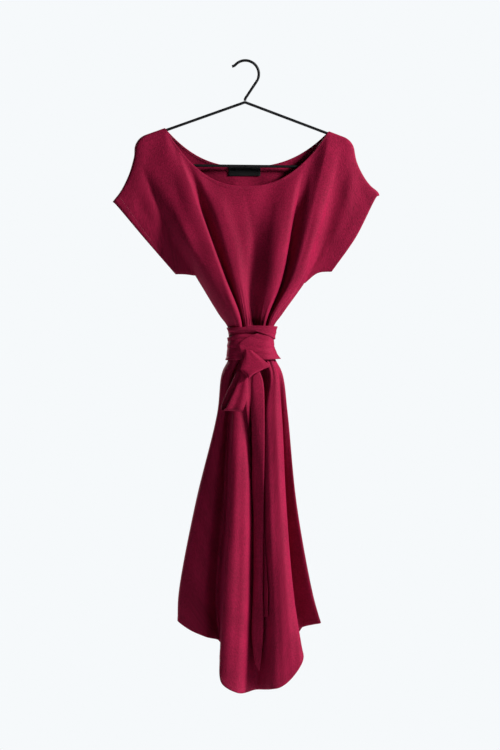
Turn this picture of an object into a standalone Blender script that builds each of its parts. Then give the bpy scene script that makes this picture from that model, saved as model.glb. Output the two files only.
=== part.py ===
"""A silk dress with cut-on cap sleeves, gathered by a tie sash and hung on a wire hanger.

Sizes are in millimetres and become metres where a mesh is made. +Z is up, the front faces -Y, and the
origin is the inner top of the hanger's hook.
"""

from math import atan2, cos, pi, radians, sin, sqrt

import bpy
import numpy as np

MM = 0.001

# The hanger
WIRE_DIAMETER = 5.0
HANGER_HALF_SPAN = 202.5
HANGER_END_RADIUS = 27.0
APEX_BELOW_HOOK = 76.0
BAR_BELOW_HOOK = 196.0
HANGER_TILT = radians(-0.6)
HOOK_RADIUS = 25.4
HOOK_TURN_START = radians(-8)
HOOK_TURN_END = radians(138)
HOOK_TIP = ((-25.5, -10.4), (-30.0, -11.3))
HOOK_STEM = ((0.0, 0.0), (0.0, 3.5), (1.2, 6.5))
APEX_RADIUS = 9.0

# The cloth
CLOTH = 1.4
SASH_CLOTH = 1.2
SEAM_GAP = 0.3
WIRE_CLEARANCE = 1.2
SHOULDER_WRAP = WIRE_DIAMETER / 2 + WIRE_CLEARANCE + CLOTH / 2
# How far the side seams lie pressed flat, row by row down from the underarm
PRESSED = (1.0, 0.7, 0.4, 0.15)

# The neck
NECK_LEFT, NECK_RIGHT = -151.5, 157.0
FRONT_NECK = {"low": -235.0, "curve": 2.3}
BACK_NECK = {"low": -197.5, "curve": 2.45}
# The first two rows below the neck edge: how far down each is, and how much further out
NECK_ROW, NECK_ROW_OUT = 3.0, 0.4

# Heights down the dress. At the underarm the height falls evenly from the left seam to the right one.
UNDERARM_LEFT, UNDERARM_RIGHT = -402.0, -418.0
HEIGHTS = {
    "chest": -300.0, "underarm": None, "above": -475.0, "waist": -503.0, "low": -552.0,
    "below": -585.0, "hip": -660.0, "thigh": -830.0, "knee": -1000.0, "hem": None,
}
UNDERARM, HEM = 2, len(HEIGHTS)
WAIST_CENTRE = 10.0

# Rows of faces down each stretch: round the shoulder, then from height to height
ROWS = (1, 1, 5, 4, 4, 1, 2, 2, 3, 3, 3, 3)
ROWS_TO_UNDERARM = sum(ROWS[:4])
# The row at the waist, under the sash, where bodice and skirt part
WAIST_ROW = sum(ROWS[:6])
# Where the columns lie between two fold lines, as shares of the way. Along the top edge they are closest
# beside the neck points.
EVEN = (0, 0.25, 0.5, 0.75)
FROM_NECK = (0, 0.1, 0.4, 0.7)
TO_NECK = (0, 0.31, 0.62, 0.94)
SLEEVE_LEFT, SLEEVE_RIGHT = ((0, 0.5), (0, 0.35, 0.7)), ((0, 0.3, 0.65), (0, 0.5))

# Where the cloth hangs past the hanger's ends: the top outline of each sleeve, from its tip inwards
SLEEVE_OUTLINE = {
    "left": ((-249, -263), (-234, -243), (-225, -226), (-217, -207), (-211, -186), (-208.2, -174)),
    "right": ((251.5, -251), (249, -245), (236, -234), (225, -220), (214.5, -201), (208.5, -186)),
}

# The sleeve lines: at the tip and halfway to the body, with x and z at the chest and at the under seam
SLEEVE_LINES = {
    "left": (("edge", -190, -331, -131, -399), ("middle", -168, -308, -113, -399.5)),
    "right": (("edge", 207, -330, 162, -394), ("middle", 186, -306, 136, -397)),
}
SLEEVE_FULLNESS = (7.5, 11.0)

# The front's fold lines from its left side seam to its right one. "top" is where the line leaves the
# shoulder or the neck edge; the others are x at each height. C, E, G and I are valleys.
FRONT_X = (
    # name         top   chest  under  above  waist  low    below  hip    thigh   knee    hem
    ("A_side", -203.0, -146.5, -94.0, -49.6, -30.8, -29.0, -44.0, -52.8, -93.8, -125.5, -127.5),
    ("N_neck", -151.5, -111.0, -69.0, -31.0, -19.0, -19.5, -36.0, -46.8, -81.6, -106.0, -104.2),
    ("B_ridge", -126.0, -79.0, -39.5, -12.5, -7.5, -13.0, -27.0, -40.2, -60.9, -77.8, -74.1),
    ("C_valley", -104.0, -74.5, -36.0, -9.5, -4.0, -8.5, -20.0, -30.8, -38.4, -53.4, -48.0),
    ("D_ridge", -70.0, -30.0, -10.0, 0.5, 2.6, -2.5, -11.0, -21.4, -26.1, -34.6, -44.0),
    ("K_ridge", -24.0, 4.0, 5.0, 9.5, 10.5, 8.0, 4.0, -0.8, 3.0, -0.8, -14.0),
    ("E_valley", 38.0, 40.0, 26.0, 22.0, 21.0, 22.0, 32.0, 17.0, 19.9, 19.9, 19.9),
    ("F_ridge", 99.0, 86.0, 64.5, 41.5, 34.0, 37.5, 48.0, 38.5, 42.6, 49.4, 49.5),
    ("G_valley", 112.0, 92.5, 69.0, 45.0, 37.8, 40.8, 51.5, 48.1, 54.7, 63.2, 65.0),
    ("M_neck", 157.0, 121.0, 87.0, 50.5, 42.0, 45.0, 56.0, 57.5, 66.9, 78.2, 85.7),
    ("H_ridge", 176.0, 140.0, 100.0, 58.0, 46.0, 48.5, 60.0, 67.9, 76.3, 90.4, 108.0),
    ("I_valley", 190.0, 154.0, 105.0, 62.0, 47.6, 50.2, 61.5, 63.2, 70.7, 82.0, 98.9),
    ("R_side", 205.0, 166.0, 109.5, 68.5, 50.0, 53.0, 69.0, 79.2, 96.0, 126.5, 141.6),
)

# How far behind the hanger's wire each line lies at each height (y, so towards the viewer is negative),
# and the height of the hem there
FRONT_Y = (
    # name       edge  chest  under  above  waist   low  below   hip  thigh   knee    hem  hem height
    ("A_side", 0.0, -8.5, 0.0, 0.0, 0.0, 0.0, 2.0, 6.0, 10.0, 12.0, 12.0, -1051.0),
    ("N_neck", 0.0, -17.0, -23.0, -21.0, -18.0, -16.5, -9.0, -2.0, -3.0, -5.0, -6.0, -1067.5),
    ("B_ridge", -7.0, -27.0, -39.0, -32.0, -22.5, -20.5, -12.0, -3.0, -5.0, -7.0, -9.0, -1080.5),
    ("C_valley", -7.0, -12.0, -16.0, -14.0, -11.5, -10.5, -2.0, 8.0, 14.0, 18.0, 18.0, -1089.5),
    ("D_ridge", -10.0, -24.0, -31.0, -28.0, -23.0, -22.0, -20.0, -24.0, -34.0, -43.0, -49.0, -1165.0),
    ("K_ridge", -13.0, -21.0, -23.0, -20.0, -17.0, -21.5, -22.0, -26.0, -38.0, -49.0, -57.0, -1183.0),
    ("E_valley", -11.0, -12.0, -10.0, -9.5, -9.5, -9.0, -6.0, -3.0, -7.0, -11.0, -14.0, -1179.0),
    ("F_ridge", -7.5, -28.0, -35.0, -31.0, -23.0, -21.0, -27.0, -30.0, -42.0, -50.0, -56.0, -1175.5),
    ("G_valley", -7.0, -13.0, -13.0, -13.0, -12.5, -13.5, -19.0, -26.5, -43.0, -55.0, -61.0, -1172.0),
    ("M_neck", 0.0, -18.0, -25.0, -24.0, -19.5, -17.0, -23.0, -33.0, -48.0, -60.0, -66.0, -1156.0),
    ("H_ridge", 0.0, -27.0, -35.0, -26.0, -14.5, -15.0, -21.0, -26.0, -38.0, -46.0, -52.0, -1121.0),
    ("I_valley", 0.0, -12.0, -15.0, -12.0, -7.5, -8.0, -5.0, 3.0, 8.5, 12.0, 13.0, -1068.0),
    ("R_side", 0.0, -8.5, 0.0, 0.0, 0.0, 0.0, 2.0, 5.0, 7.5, 8.5, 8.5, -1055.0),
)

# The back's folds between the same side seams: x where each line leaves the shoulder or the neck edge, its
# share of the way across below, how far it stands out (1) or in (-1), and how far its hem falls below the
# side seams
BACK_FOLDS = (
    # name            top  below stands  drop
    ("neck_left", NECK_LEFT, 0.11, 0.8, 8.0),
    ("valley_1", -104.0, 0.22, -0.7, 19.0),
    ("ridge_2", -68.0, 0.33, 1.0, 52.0),
    ("valley_2", -28.0, 0.43, -1.0, 84.0),
    ("ridge_3", 10.0, 0.55, 0.9, 98.0),
    ("valley_3", 58.0, 0.66, -0.8, 92.0),
    ("ridge_4", 106.0, 0.77, 1.1, 58.0),
    ("neck_right", NECK_RIGHT, 0.89, -0.4, 5.0),
)
# The back's depth behind the wire and the height of its folds, at each height
BACK_DEPTH = (7.5, 13.0, 20.0, 17.5, 14.0, 14.5, 19.0, 25.0, 33.0, 41.0, 43.0)
BACK_FOLD_HEIGHT = (0.0, 3.5, 8.0, 8.0, 7.5, 7.5, 7.5, 8.0, 9.0, 11.0, 12.0)

# The sash: where each turn lies round the waist (centreline half sizes) and its edges
SASH_DEPTH_TO_WIDTH = 3.0
SASH_AROUND = 40
SASH_TURNS = {
    "sash_wrap_upper": {"half_width": 40.8, "half_depth": 27.6, "top": -499.0, "bottom": -531.0},
    "sash_wrap_lower": {"half_width": 43.4, "half_depth": 30.0, "top": -514.0, "bottom": -560.0},
}
# How far the top edge of the wound sash stands out, and the height over which it does
SASH_LIP, SASH_LIP_TOP, SASH_LIP_HEIGHT = 5.2, -496.5, 32.0
SASH_LOWER_FLARE = {"left": 4.0, "right": 13.0, "back": 2.0}
CROSS_HALF_WIDTH, CROSS_HALF_DEPTH = 45.2, 32.0
CROSS_START, CROSS_END = radians(-100), radians(85)
CROSS_TOP, CROSS_TIP_WIDTH, CROSS_FULL_WIDTH = -496.5, 4.0, 23.0

# The hanging pieces of the sash: left and right edge (x, z, y) at each row, from the knot down
FLAP_ROWS = (
    ("knot", -1, -541, -33.5, 14, -547, -33.5),
    ("shoulder", -4, -555, -36.0, 25, -556, -36.0),
    ("corners", -9, -577, -41.0, 45, -571, -38.0),
    ("hem", 3, -592, -47.0, 16, -590, -48.0),
)
FLAP_BULGE = 3.0
LOOP_ROWS = (
    ("knot", -7, -572, -36.5, 3, -573, -37.5),
    ("front_high", -18, -607, -39.5, 3, -612, -42.0),
    ("front_low", -32, -638, -44.0, 0, -642, -46.5),
    ("turn_front", -41, -650, -44.5, -2, -654, -47.5),
    ("turn_under", -44, -654, -40.5, -4, -657.5, -42.5),
    ("turn_back", -43, -649, -36.0, -6, -652, -37.0),
    ("back_high", -36, -611, -33.0, -10, -613, -32.5),
    ("back_knot", -24, -575, -31.5, -12, -576, -31.5),
)
LONG_TAIL_ROWS = (
    ("knot", 11.5, -597, -37.5, 26, -594, -38.0),
    ("top", 11.5, -612, -38.0, 35.5, -612, -39.0),
    ("hip", 12.0, -672, -38.5, 35.5, -672, -38.0),
    ("thigh", 15.5, -822, -37.0, 34.0, -822, -36.5),
    ("knee", 15.5, -974, -40.5, 32.4, -974, -40.5),
    ("low", 12.5, -1074, -41.0, 33.0, -1074, -41.0),
    ("point", 17.5, -1128, -41.0, 26.5, -1143, -41.0),
)
SHORT_TAIL_ROWS = (
    ("knot", 12, -600, -33.5, 27, -598, -33.5),
    ("hip", 14, -672, -30.0, 29, -672, -31.0),
    ("thigh", 14, -822, -26.5, 28.5, -822, -28.0),
    ("turn", 26.5, -905, -28.0, 36.5, -903, -38.5),
    ("edge_on", 34.5, -980, -39.5, 41, -980, -50.5),
    ("end", 35, -1042, -41.5, 41.5, -1040, -52.5),
)
TAIL_STEPS = 3

# The label
LABEL_LEFT, LABEL_RIGHT, LABEL_TOP, LABEL_BOTTOM = -32.0, 28.0, -197.0, -214.0
LABEL_CLOTH = 1.0

COLOURS = {
    "silk": (0.245, 0.011, 0.040, 1.0),
    "black_paint": (0.012, 0.012, 0.013, 1.0),
    "black_label": (0.008, 0.008, 0.009, 1.0),
}


def clear_scene():
    for thing in list(bpy.data.objects):
        bpy.data.objects.remove(thing, do_unlink=True)


def material(name, colour, roughness, metallic=0.0):
    made = bpy.data.materials.new(name)
    made.use_nodes = True
    shader = made.node_tree.nodes["Principled BSDF"]
    shader.inputs["Base Color"].default_value = colour
    shader.inputs["Roughness"].default_value = roughness
    shader.inputs["Metallic"].default_value = metallic
    made.diffuse_color = colour
    return made


def through(points, steps, before=None, after=None, corners=()):
    """A smooth curve through the points, sampled at the shares steps[i] of the way from point i to the next.

    before and after are points past the ends, which set the slopes there. corners holds the numbers
    of the points where the curve turns sharply.
    """
    known = np.array(points, float)
    count = len(known)
    gaps = np.maximum(np.linalg.norm(np.diff(known, axis=0), axis=1), 1e-3) ** 0.5
    chords = np.diff(known, axis=0) / gaps[:, None]
    arriving, leaving = np.empty_like(known), np.empty_like(known)
    for i in range(count):
        if i in corners or (i == 0 and before is None) or (i == count - 1 and after is None):
            arriving[i] = chords[max(i - 1, 0)]
            leaving[i] = chords[min(i, count - 2)]
            continue
        last_gap, last = (gaps[i - 1], chords[i - 1]) if i else chord_of(before, known[0])
        next_gap, onward = (gaps[i], chords[i]) if i < count - 1 else chord_of(known[-1], after)
        slope = (last * next_gap + onward * last_gap) / (last_gap + next_gap)
        arriving[i] = leaving[i] = slope
    curve = []
    for i in range(count - 1):
        for t in steps[i]:
            rise = leaving[i] * gaps[i] * (t - 2 * t**2 + t**3)
            fall = arriving[i + 1] * gaps[i] * (t**3 - t**2)
            along = 3 * t**2 - 2 * t**3
            curve.append(known[i] * (1 - along) + known[i + 1] * along + rise + fall)
    curve.append(known[-1])
    return np.array(curve)


def even(count):
    return tuple(k / count for k in range(count))


def chord_of(start, end):
    gap = max(float(np.linalg.norm(np.subtract(end, start))), 1e-3) ** 0.5
    return gap, np.subtract(end, start) / gap


def tilted(x, z):
    return x * cos(HANGER_TILT) - z * sin(HANGER_TILT), x * sin(HANGER_TILT) + z * cos(HANGER_TILT)


def shoulder_slope():
    """The slope at which a line from the apex just touches the round end of the hanger."""
    across = HANGER_HALF_SPAN - HANGER_END_RADIUS
    drop = BAR_BELOW_HOOK - HANGER_END_RADIUS - APEX_BELOW_HOOK
    reach = sqrt(across**2 + drop**2)
    return atan2(drop, across) - np.arcsin(HANGER_END_RADIUS / reach)


def shoulder_outline(side, clearance):
    """Points over one shoulder of the hanger, from low on its round end up to the apex."""
    sign = -1 if side == "left" else 1
    centre_x = sign * (HANGER_HALF_SPAN - HANGER_END_RADIUS)
    centre_z = -BAR_BELOW_HOOK + HANGER_END_RADIUS
    radius = HANGER_END_RADIUS + clearance
    slope = shoulder_slope()
    points = []
    for k in range(9):
        turn = radians(2) + (pi / 2 - slope - radians(2)) * k / 8
        points.append((centre_x + sign * radius * cos(turn), centre_z + radius * sin(turn)))
    points.append((0.0, -APEX_BELOW_HOOK + clearance / cos(slope)))
    return [tilted(x, z) for x, z in points]


def neck_height(x, neck, left_z, right_z):
    edge, edge_z = (NECK_LEFT, left_z) if x < 0 else (NECK_RIGHT, right_z)
    return neck["low"] + (edge_z - neck["low"]) * abs(x / edge) ** neck["curve"]


def top_edge(neck):
    """The whole top edge of a panel from sleeve tip to sleeve tip, as a fine outline of (x, z)."""
    halves = {}
    for side in ("left", "right"):
        over = shoulder_outline(side, SHOULDER_WRAP)
        hanging = through([(x, 0, z) for x, z in SLEEVE_OUTLINE[side]] + [(over[0][0], 0, over[0][1])], [even(4)] * 6)
        outline = [(p[0], p[2]) for p in hanging] + over
        neck_x = NECK_LEFT if side == "left" else NECK_RIGHT
        kept = [p for p in outline if abs(p[0]) > abs(neck_x) + 0.5]
        xs = [abs(p[0]) for p in over[::-1]]
        neck_z = float(np.interp(abs(neck_x), xs, [p[1] for p in over[::-1]]))
        halves[side] = kept + [(neck_x, neck_z)]
    left_z, right_z = halves["left"][-1][1], halves["right"][-1][1]
    middle = [(x, neck_height(x, neck, left_z, right_z)) for x in np.linspace(NECK_LEFT, NECK_RIGHT, 60)[1:-1]]
    return np.array(halves["left"] + middle + halves["right"][::-1])


def places_along(outline, stops, steps):
    """Points of an outline between the stops (x values), evenly spaced in each stretch, with inward normals."""
    lengths = np.concatenate(([0], np.cumsum(np.linalg.norm(np.diff(outline, axis=0), axis=1))))
    at_stops = np.interp(stops, outline[:, 0], lengths)
    wanted = []
    for i, shares in enumerate(steps):
        wanted += [at_stops[i] + (at_stops[i + 1] - at_stops[i]) * share for share in shares]
    wanted.append(at_stops[-1])
    wanted = np.array(wanted)
    place = np.stack([np.interp(wanted, lengths, outline[:, k]) for k in (0, 1)], axis=1)
    ahead = np.stack([np.interp(wanted + 2, lengths, outline[:, k]) for k in (0, 1)], axis=1)
    behind = np.stack([np.interp(wanted - 2, lengths, outline[:, k]) for k in (0, 1)], axis=1)
    along = ahead - behind
    along /= np.linalg.norm(along, axis=1)[:, None]
    return place, np.stack([along[:, 1], -along[:, 0]], axis=1)


def level_height(level, x):
    """The height of a level above the hem, counted from 1 at the chest."""
    if level != UNDERARM:
        return list(HEIGHTS.values())[level - 1]
    left, right = FRONT_X[0][UNDERARM + 1], FRONT_X[-1][UNDERARM + 1]
    return UNDERARM_LEFT + (UNDERARM_RIGHT - UNDERARM_LEFT) * (x - left) / (right - left)


def front_lines():
    """For each fold line of the front, its points (x, y, z) at the heights below the top edge."""
    lines = []
    for (name, *xs), (_, edge, *rest) in zip(FRONT_X, FRONT_Y):
        ys, hem = rest[:-1], rest[-1]
        points = [(x, y, level_height(k + 1, x)) for k, (x, y) in enumerate(zip(xs[1:-1], ys[:-1]))]
        points.append((xs[-1], ys[-1], hem))
        lines.append((name, xs[0], edge, points))
    return lines


def back_lines():
    """The back's lines: the front's side lines, with the back's own folds between them."""
    front = front_lines()
    left, right = front[0], front[-1]
    lines = [left]
    for name, top_x, below, stands, drop in BACK_FOLDS:
        at_top = (top_x - left[1]) / (right[1] - left[1])
        points = []
        for level, (a, b) in enumerate(zip(left[3], right[3]), start=1):
            share = at_top + (below - at_top) * min(level / 4, 1)
            x = a[0] + (b[0] - a[0]) * share
            y = BACK_DEPTH[level] + BACK_FOLD_HEIGHT[level] * stands
            hem = a[2] + (b[2] - a[2]) * share - drop
            points.append((x, y, hem if level == HEM else level_height(level, x)))
        lines.append((name, top_x, BACK_DEPTH[0], points))
    return lines + [right]


def top_steps(lines):
    """The columns' shares between the lines of a panel along its top edge."""
    steps = []
    for here, beyond in zip(lines, lines[1:]):
        if here[1] == NECK_LEFT:
            steps.append(FROM_NECK)
        else:
            steps.append(TO_NECK if beyond[1] == NECK_RIGHT else EVEN)
    return steps


def sleeve_points(side, sign, level):
    """A sleeve's two lines at the chest (1) or at the under seam (2), from its edge inwards."""
    found = []
    for (_, chest_x, chest_z, under_x, under_z), fullness in zip(SLEEVE_LINES[side], SLEEVE_FULLNESS):
        if level == 1:
            found.append((chest_x, sign * fullness, chest_z))
        else:
            found.append((under_x, sign * SEAM_GAP / 2, under_z))
    return found


def seam_points(points, sign, level):
    """A section whose ends at the side seams are parted, so that the two panels don't touch."""
    parted = [list(p) for p in points]
    for end in (0, -1):
        if level > 1:
            parted[end][1] += sign * SEAM_GAP / 2
        elif sign > 0:
            parted[end][1] = -parted[end][1]
    return parted


def panel_grid(lines, others, neck, sign):
    """The points of a panel, rows down by columns across, and the directions its seam edges face.

    sign is -1 for the front and 1 for the back. Below the underarm the sleeve columns are empty.
    """
    inner = [EVEN] * (len(lines) - 1)
    steps = [*SLEEVE_LEFT, *inner, *SLEEVE_RIGHT]
    sections = []
    for level in range(1, HEM + 1):
        points = seam_points([line[3][level - 1] for line in lines], sign, level)
        facing = seam_points([line[3][level - 1] for line in others], -sign, level)
        if level <= UNDERARM:
            left = sleeve_points("left", sign, level)
            right = sleeve_points("right", sign, level)[::-1]
            ends = (len(left), len(left) + len(points) - 1) if level == UNDERARM else ()
            section = through(left + points + right, steps, corners=ends)
        else:
            section = through(points, inner, before=facing[1], after=facing[-2])
        sections.append(section)
    outline = top_edge(neck)
    left_tip, left_middle = SLEEVE_OUTLINE["left"][0][0], SLEEVE_OUTLINE["left"][3][0]
    right_tip, right_middle = SLEEVE_OUTLINE["right"][0][0], SLEEVE_OUTLINE["right"][3][0]
    stops = [left_tip, left_middle, *[line[1] for line in lines], right_middle, right_tip]
    places, inward = places_along(outline, stops, [*SLEEVE_LEFT, *top_steps(lines), *SLEEVE_RIGHT])
    depths = np.interp(places[:, 0], stops, [0, 0, *[abs(line[2]) for line in lines], 0, 0])
    skip = sum(len(shares) for shares in SLEEVE_LEFT)
    width = len(places)
    grid = np.full((sum(ROWS) + 1, width, 3), np.nan)
    faces = np.full_like(grid, np.nan)
    for c in range(width):
        on_neck = NECK_LEFT + 0.5 < places[c][0] < NECK_RIGHT - 0.5
        path = top_rows(places[c], inward[c], depths[c], sign, on_neck)
        for level, section in enumerate(sections, start=1):
            if level <= UNDERARM:
                path.append(section[c])
            elif skip <= c < width - skip:
                path.append(section[c - skip])
        seam = (2 + UNDERARM,) if c in (skip, width - 1 - skip) else ()
        column = through(path, [even(count) for count in ROWS[: len(path) - 1]], corners=seam)
        grid[: len(column), c] = column
        if not on_neck:
            faces[0, c] = sign * inward[c][0], 0, sign * inward[c][1]
    press_seams(grid, faces, skip, sign)
    return grid, faces


def press_seams(grid, faces, skip, sign):
    """Turns each side seam's edge from lying flat at the underarm to facing the other panel's edge below."""
    rows, width = grid.shape[:2]
    level = ROWS_TO_UNDERARM
    for c in [*range(skip), *range(width - skip, width)]:
        faces[level, c] = 0, -1, 0
    for c, outward in ((skip, -1), (width - 1 - skip, 1)):
        for r in range(level, rows):
            along = grid[min(r + 1, rows - 1), c] - grid[r - 1, c]
            across = np.array([-along[2], 0, along[0]]) / np.hypot(along[0], along[2])
            across *= -sign * outward * np.sign(across[0])
            flat = PRESSED[r - level] if r - level < len(PRESSED) else 0.0
            facing = flat * np.array([0, -1, 0]) + (1 - flat) * across
            faces[r, c] = facing / np.linalg.norm(facing)
    edge = ~np.isnan(faces[:, :, 0])
    edge[0] = False
    grid[edge, 1] += sign * CLOTH / 2 * np.abs(faces[edge, 1])


def top_rows(place, inward, depth, sign, on_neck):
    """The first three rows of a column: round the wire at the shoulders, or straight down from the neck edge."""
    rows = []
    for k, turn in enumerate((0, pi / 4, pi / 2)):
        if on_neck:
            out = max(depth, SHOULDER_WRAP) + NECK_ROW_OUT * k
            rows.append((place[0], sign * out, place[1] - NECK_ROW * k))
            continue
        into = SHOULDER_WRAP * (1 - cos(turn))
        out = SEAM_GAP / 2 + (SHOULDER_WRAP - SEAM_GAP / 2) * sin(turn)
        rows.append((place[0] + inward[0] * into, sign * out, place[1] + inward[1] * into))
    return rows


def wall_points(grid, thickness, cells, faces):
    """The two faces of a wall on a grid: each point moved half the thickness either way.

    A point moves along the average direction of the cells round it, or as faces says at a seam's edge.
    """
    normals = np.zeros_like(grid)
    for (r, c), (below, after) in cells:
        corners = [(r, c), (below, c), (below, after), (r, after)]
        facing = np.cross(grid[corners[2]] - grid[corners[0]], grid[corners[3]] - grid[corners[1]])
        for corner in corners:
            normals[corner] += facing
    lengths = np.linalg.norm(normals, axis=2)
    normals /= np.where(lengths > 0, lengths, 1)[:, :, None]
    if faces is not None:
        normals = np.where(np.isnan(faces), normals, faces)
    return grid + normals * thickness / 2, grid - normals * thickness / 2


def cells_of(grid, around):
    """The grid's faces, each as its first corner and the row and column after it."""
    rows, columns = grid.shape[:2]
    present = ~np.isnan(grid[:, :, 0])
    cells = []
    for r in range(rows - 1):
        for c in range(columns if around else columns - 1):
            after = (c + 1) % columns
            if present[r, c] and present[r + 1, c] and present[r + 1, after] and present[r, after]:
                cells.append(((r, c), (r + 1, after)))
    return cells


def sheet_object(name, grid, thickness, finish, around=False):
    """A wall of even thickness on a grid of points, closed round its edges."""
    cells = cells_of(grid, around)
    outer, inner = wall_points(grid, thickness, cells, None)
    return wall_object(name, outer, inner, cells, finish)


def panel_objects(side, grid, faces, finish):
    """The bodice and the skirt of one side of the dress, with a seam's gap between them at the waist."""
    outer, inner = wall_points(grid, CLOTH, cells_of(grid, False), faces)
    for part, rows in (("bodice", slice(0, WAIST_ROW + 1)), ("skirt", slice(WAIST_ROW, None))):
        out, within = outer[rows].copy(), inner[rows].copy()
        if part == "skirt":
            out[0, :, 2] -= SEAM_GAP
            within[0, :, 2] -= SEAM_GAP
        wall_object(f"{side}_{part}", out, within, cells_of(grid[rows], False), finish)


def wall_object(name, outer, inner, cells, finish):
    """A closed wall between its outer and inner points. Empty points get no wall."""
    used = sorted({(r, c) for (above, before), (below, after) in cells for r in (above, below)
                   for c in (before, after)})
    number = {place: i for i, place in enumerate(used)}
    count = len(used)
    quads, edges = [], {}
    for (r, c), (below, after) in cells:
        ring = [number[place] for place in ((r, c), (below, c), (below, after), (r, after))]
        quads.append(ring)
        quads.append([i + count for i in reversed(ring)])
        for a, b in zip(ring, ring[1:] + ring[:1]):
            if edges.pop((b, a), None) is None:
                edges[(a, b)] = True
    quads += [[b, a, a + count, b + count] for a, b in edges]
    points = [outer[place] * MM for place in used] + [inner[place] * MM for place in used]
    mesh = bpy.data.meshes.new(name)
    mesh.from_pydata([tuple(p) for p in points], [], quads)
    mesh.shade_smooth()
    mesh.materials.append(finish)
    made = bpy.data.objects.new(name, mesh)
    bpy.context.scene.collection.objects.link(made)
    return made


def wire_object(name, points, finish, closed):
    curve = bpy.data.curves.new(name, "CURVE")
    curve.dimensions = "3D"
    curve.bevel_depth = WIRE_DIAMETER / 2 * MM
    curve.bevel_resolution = 2
    curve.use_fill_caps = True
    spline = curve.splines.new("POLY")
    spline.points.add(len(points) - 1)
    for spot, (x, z) in zip(spline.points, points):
        spot.co = (x * MM, 0, z * MM, 1)
    spline.use_cyclic_u = closed
    curve.materials.append(finish)
    made = bpy.data.objects.new(name, curve)
    bpy.context.scene.collection.objects.link(made)
    return made


def hanger_frame(paint):
    slope = shoulder_slope()
    points = []
    for sign in (1, -1):
        centre_x = sign * (HANGER_HALF_SPAN - HANGER_END_RADIUS)
        centre_z = -BAR_BELOW_HOOK + HANGER_END_RADIUS
        side = []
        for k in range(3):
            turn = slope * k / 2
            side.append((sign * APEX_RADIUS * sin(turn), -APEX_BELOW_HOOK - APEX_RADIUS * (1 - cos(turn))))
        for k in range(9):
            turn = pi / 2 - slope - (pi - slope) * k / 8
            side.append((
                centre_x + sign * HANGER_END_RADIUS * cos(turn),
                centre_z + HANGER_END_RADIUS * sin(turn),
            ))
        points += side if sign > 0 else side[:0:-1]
    return wire_object("hanger_frame", [tilted(x, z) for x, z in points], paint, True)


def hanger_hook(paint):
    centre_z = WIRE_DIAMETER / 2 - HOOK_RADIUS
    foot = -APEX_BELOW_HOOK + WIRE_DIAMETER / 2 + SEAM_GAP
    points = [(x, foot + z) for x, z in HOOK_STEM]
    for k in range(17):
        turn = HOOK_TURN_START + (HOOK_TURN_END - HOOK_TURN_START) * k / 16
        points.append((HOOK_RADIUS * cos(turn), centre_z + HOOK_RADIUS * sin(turn)))
    return wire_object("hanger_hook", [tilted(x, z) for x, z in (*points, *HOOK_TIP)], paint, False)


def round_waist(angle, half_width, half_depth):
    power = 2 / SASH_DEPTH_TO_WIDTH
    x = np.sign(cos(angle)) * abs(cos(angle)) ** power * half_width
    y = np.sign(sin(angle)) * abs(sin(angle)) ** power * half_depth
    return WAIST_CENTRE + x, y


def sash_lip(z):
    return SASH_LIP * min(max(1 - (SASH_LIP_TOP - z) / SASH_LIP_HEIGHT, 0), 1) ** 3


def sash_wrap_upper(silk):
    turn = SASH_TURNS["sash_wrap_upper"]
    rows = 3
    grid = np.empty((rows + 1, SASH_AROUND, 3))
    for r in range(rows + 1):
        down = r / rows
        for c in range(SASH_AROUND):
            angle = 2 * pi * c / SASH_AROUND
            top = turn["top"] + 1.2 * cos(angle + 0.4) - 1.0 * sin(2 * angle)
            z = top + (turn["bottom"] - top) * down
            lip = sash_lip(z)
            x, y = round_waist(angle, turn["half_width"] + lip, turn["half_depth"] + lip)
            grid[r, c] = x, y, z
    return sheet_object("sash_wrap_upper", grid, SASH_CLOTH, silk, around=True)


def sash_wrap_lower(silk):
    turn = SASH_TURNS["sash_wrap_lower"]
    rows = 4
    grid = np.empty((rows + 1, SASH_AROUND, 3))
    for r in range(rows + 1):
        down = r / rows
        for c in range(SASH_AROUND):
            angle = 2 * pi * c / SASH_AROUND
            right, left, back = max(cos(angle), 0), max(-cos(angle), 0), max(sin(angle), 0)
            flare = SASH_LOWER_FLARE["right"] * right**3 + SASH_LOWER_FLARE["left"] * left
            flare = (flare + SASH_LOWER_FLARE["back"] * back) * down**3
            x, y = round_waist(angle, turn["half_width"] + flare, turn["half_depth"] + 0.15 * flare)
            top = turn["top"] - 4.5 * left**2 - 2.5 * right**2 + 2.5 * max(-sin(angle), 0) ** 3
            bottom = turn["bottom"] + 2.0 * right**3 - 1.5 * left * back
            grid[r, c] = x, y, top + (bottom - top) * down
    return sheet_object("sash_wrap_lower", grid, SASH_CLOTH, silk, around=True)


def sash_wrap_cross(silk):
    rows, columns = 2, 20
    grid = np.empty((rows + 1, columns + 1, 3))
    for r in range(rows + 1):
        for c in range(columns + 1):
            share = c / columns
            angle = CROSS_START + (CROSS_END - CROSS_START) * share
            width = CROSS_TIP_WIDTH + (CROSS_FULL_WIDTH - CROSS_TIP_WIDTH) * min(share / 0.55, 1)
            z = CROSS_TOP - 3.0 * share - width * r / rows
            lip = sash_lip(z)
            x, y = round_waist(angle, CROSS_HALF_WIDTH + lip, CROSS_HALF_DEPTH + lip)
            grid[r, c] = x, y, z
    return sheet_object("sash_wrap_cross", grid, SASH_CLOTH, silk)


def strip_grid(rows, steps_down, steps_across, bulge=0.0):
    """A strip from its table of edges, smooth down its length, bulging forward between its edges."""
    lines = []
    for at in (1, 4):
        edge = [(row[at], row[at + 2], row[at + 1]) for row in rows]
        lines.append(through(edge, [even(steps_down)] * (len(rows) - 1)))
    grid = np.empty((len(lines[0]), steps_across + 1, 3))
    for c in range(steps_across + 1):
        share = c / steps_across
        grid[:, c] = lines[0] * (1 - share) + lines[1] * share
        grid[:, c, 1] -= bulge * 4 * share * (1 - share)
    return grid


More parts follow.
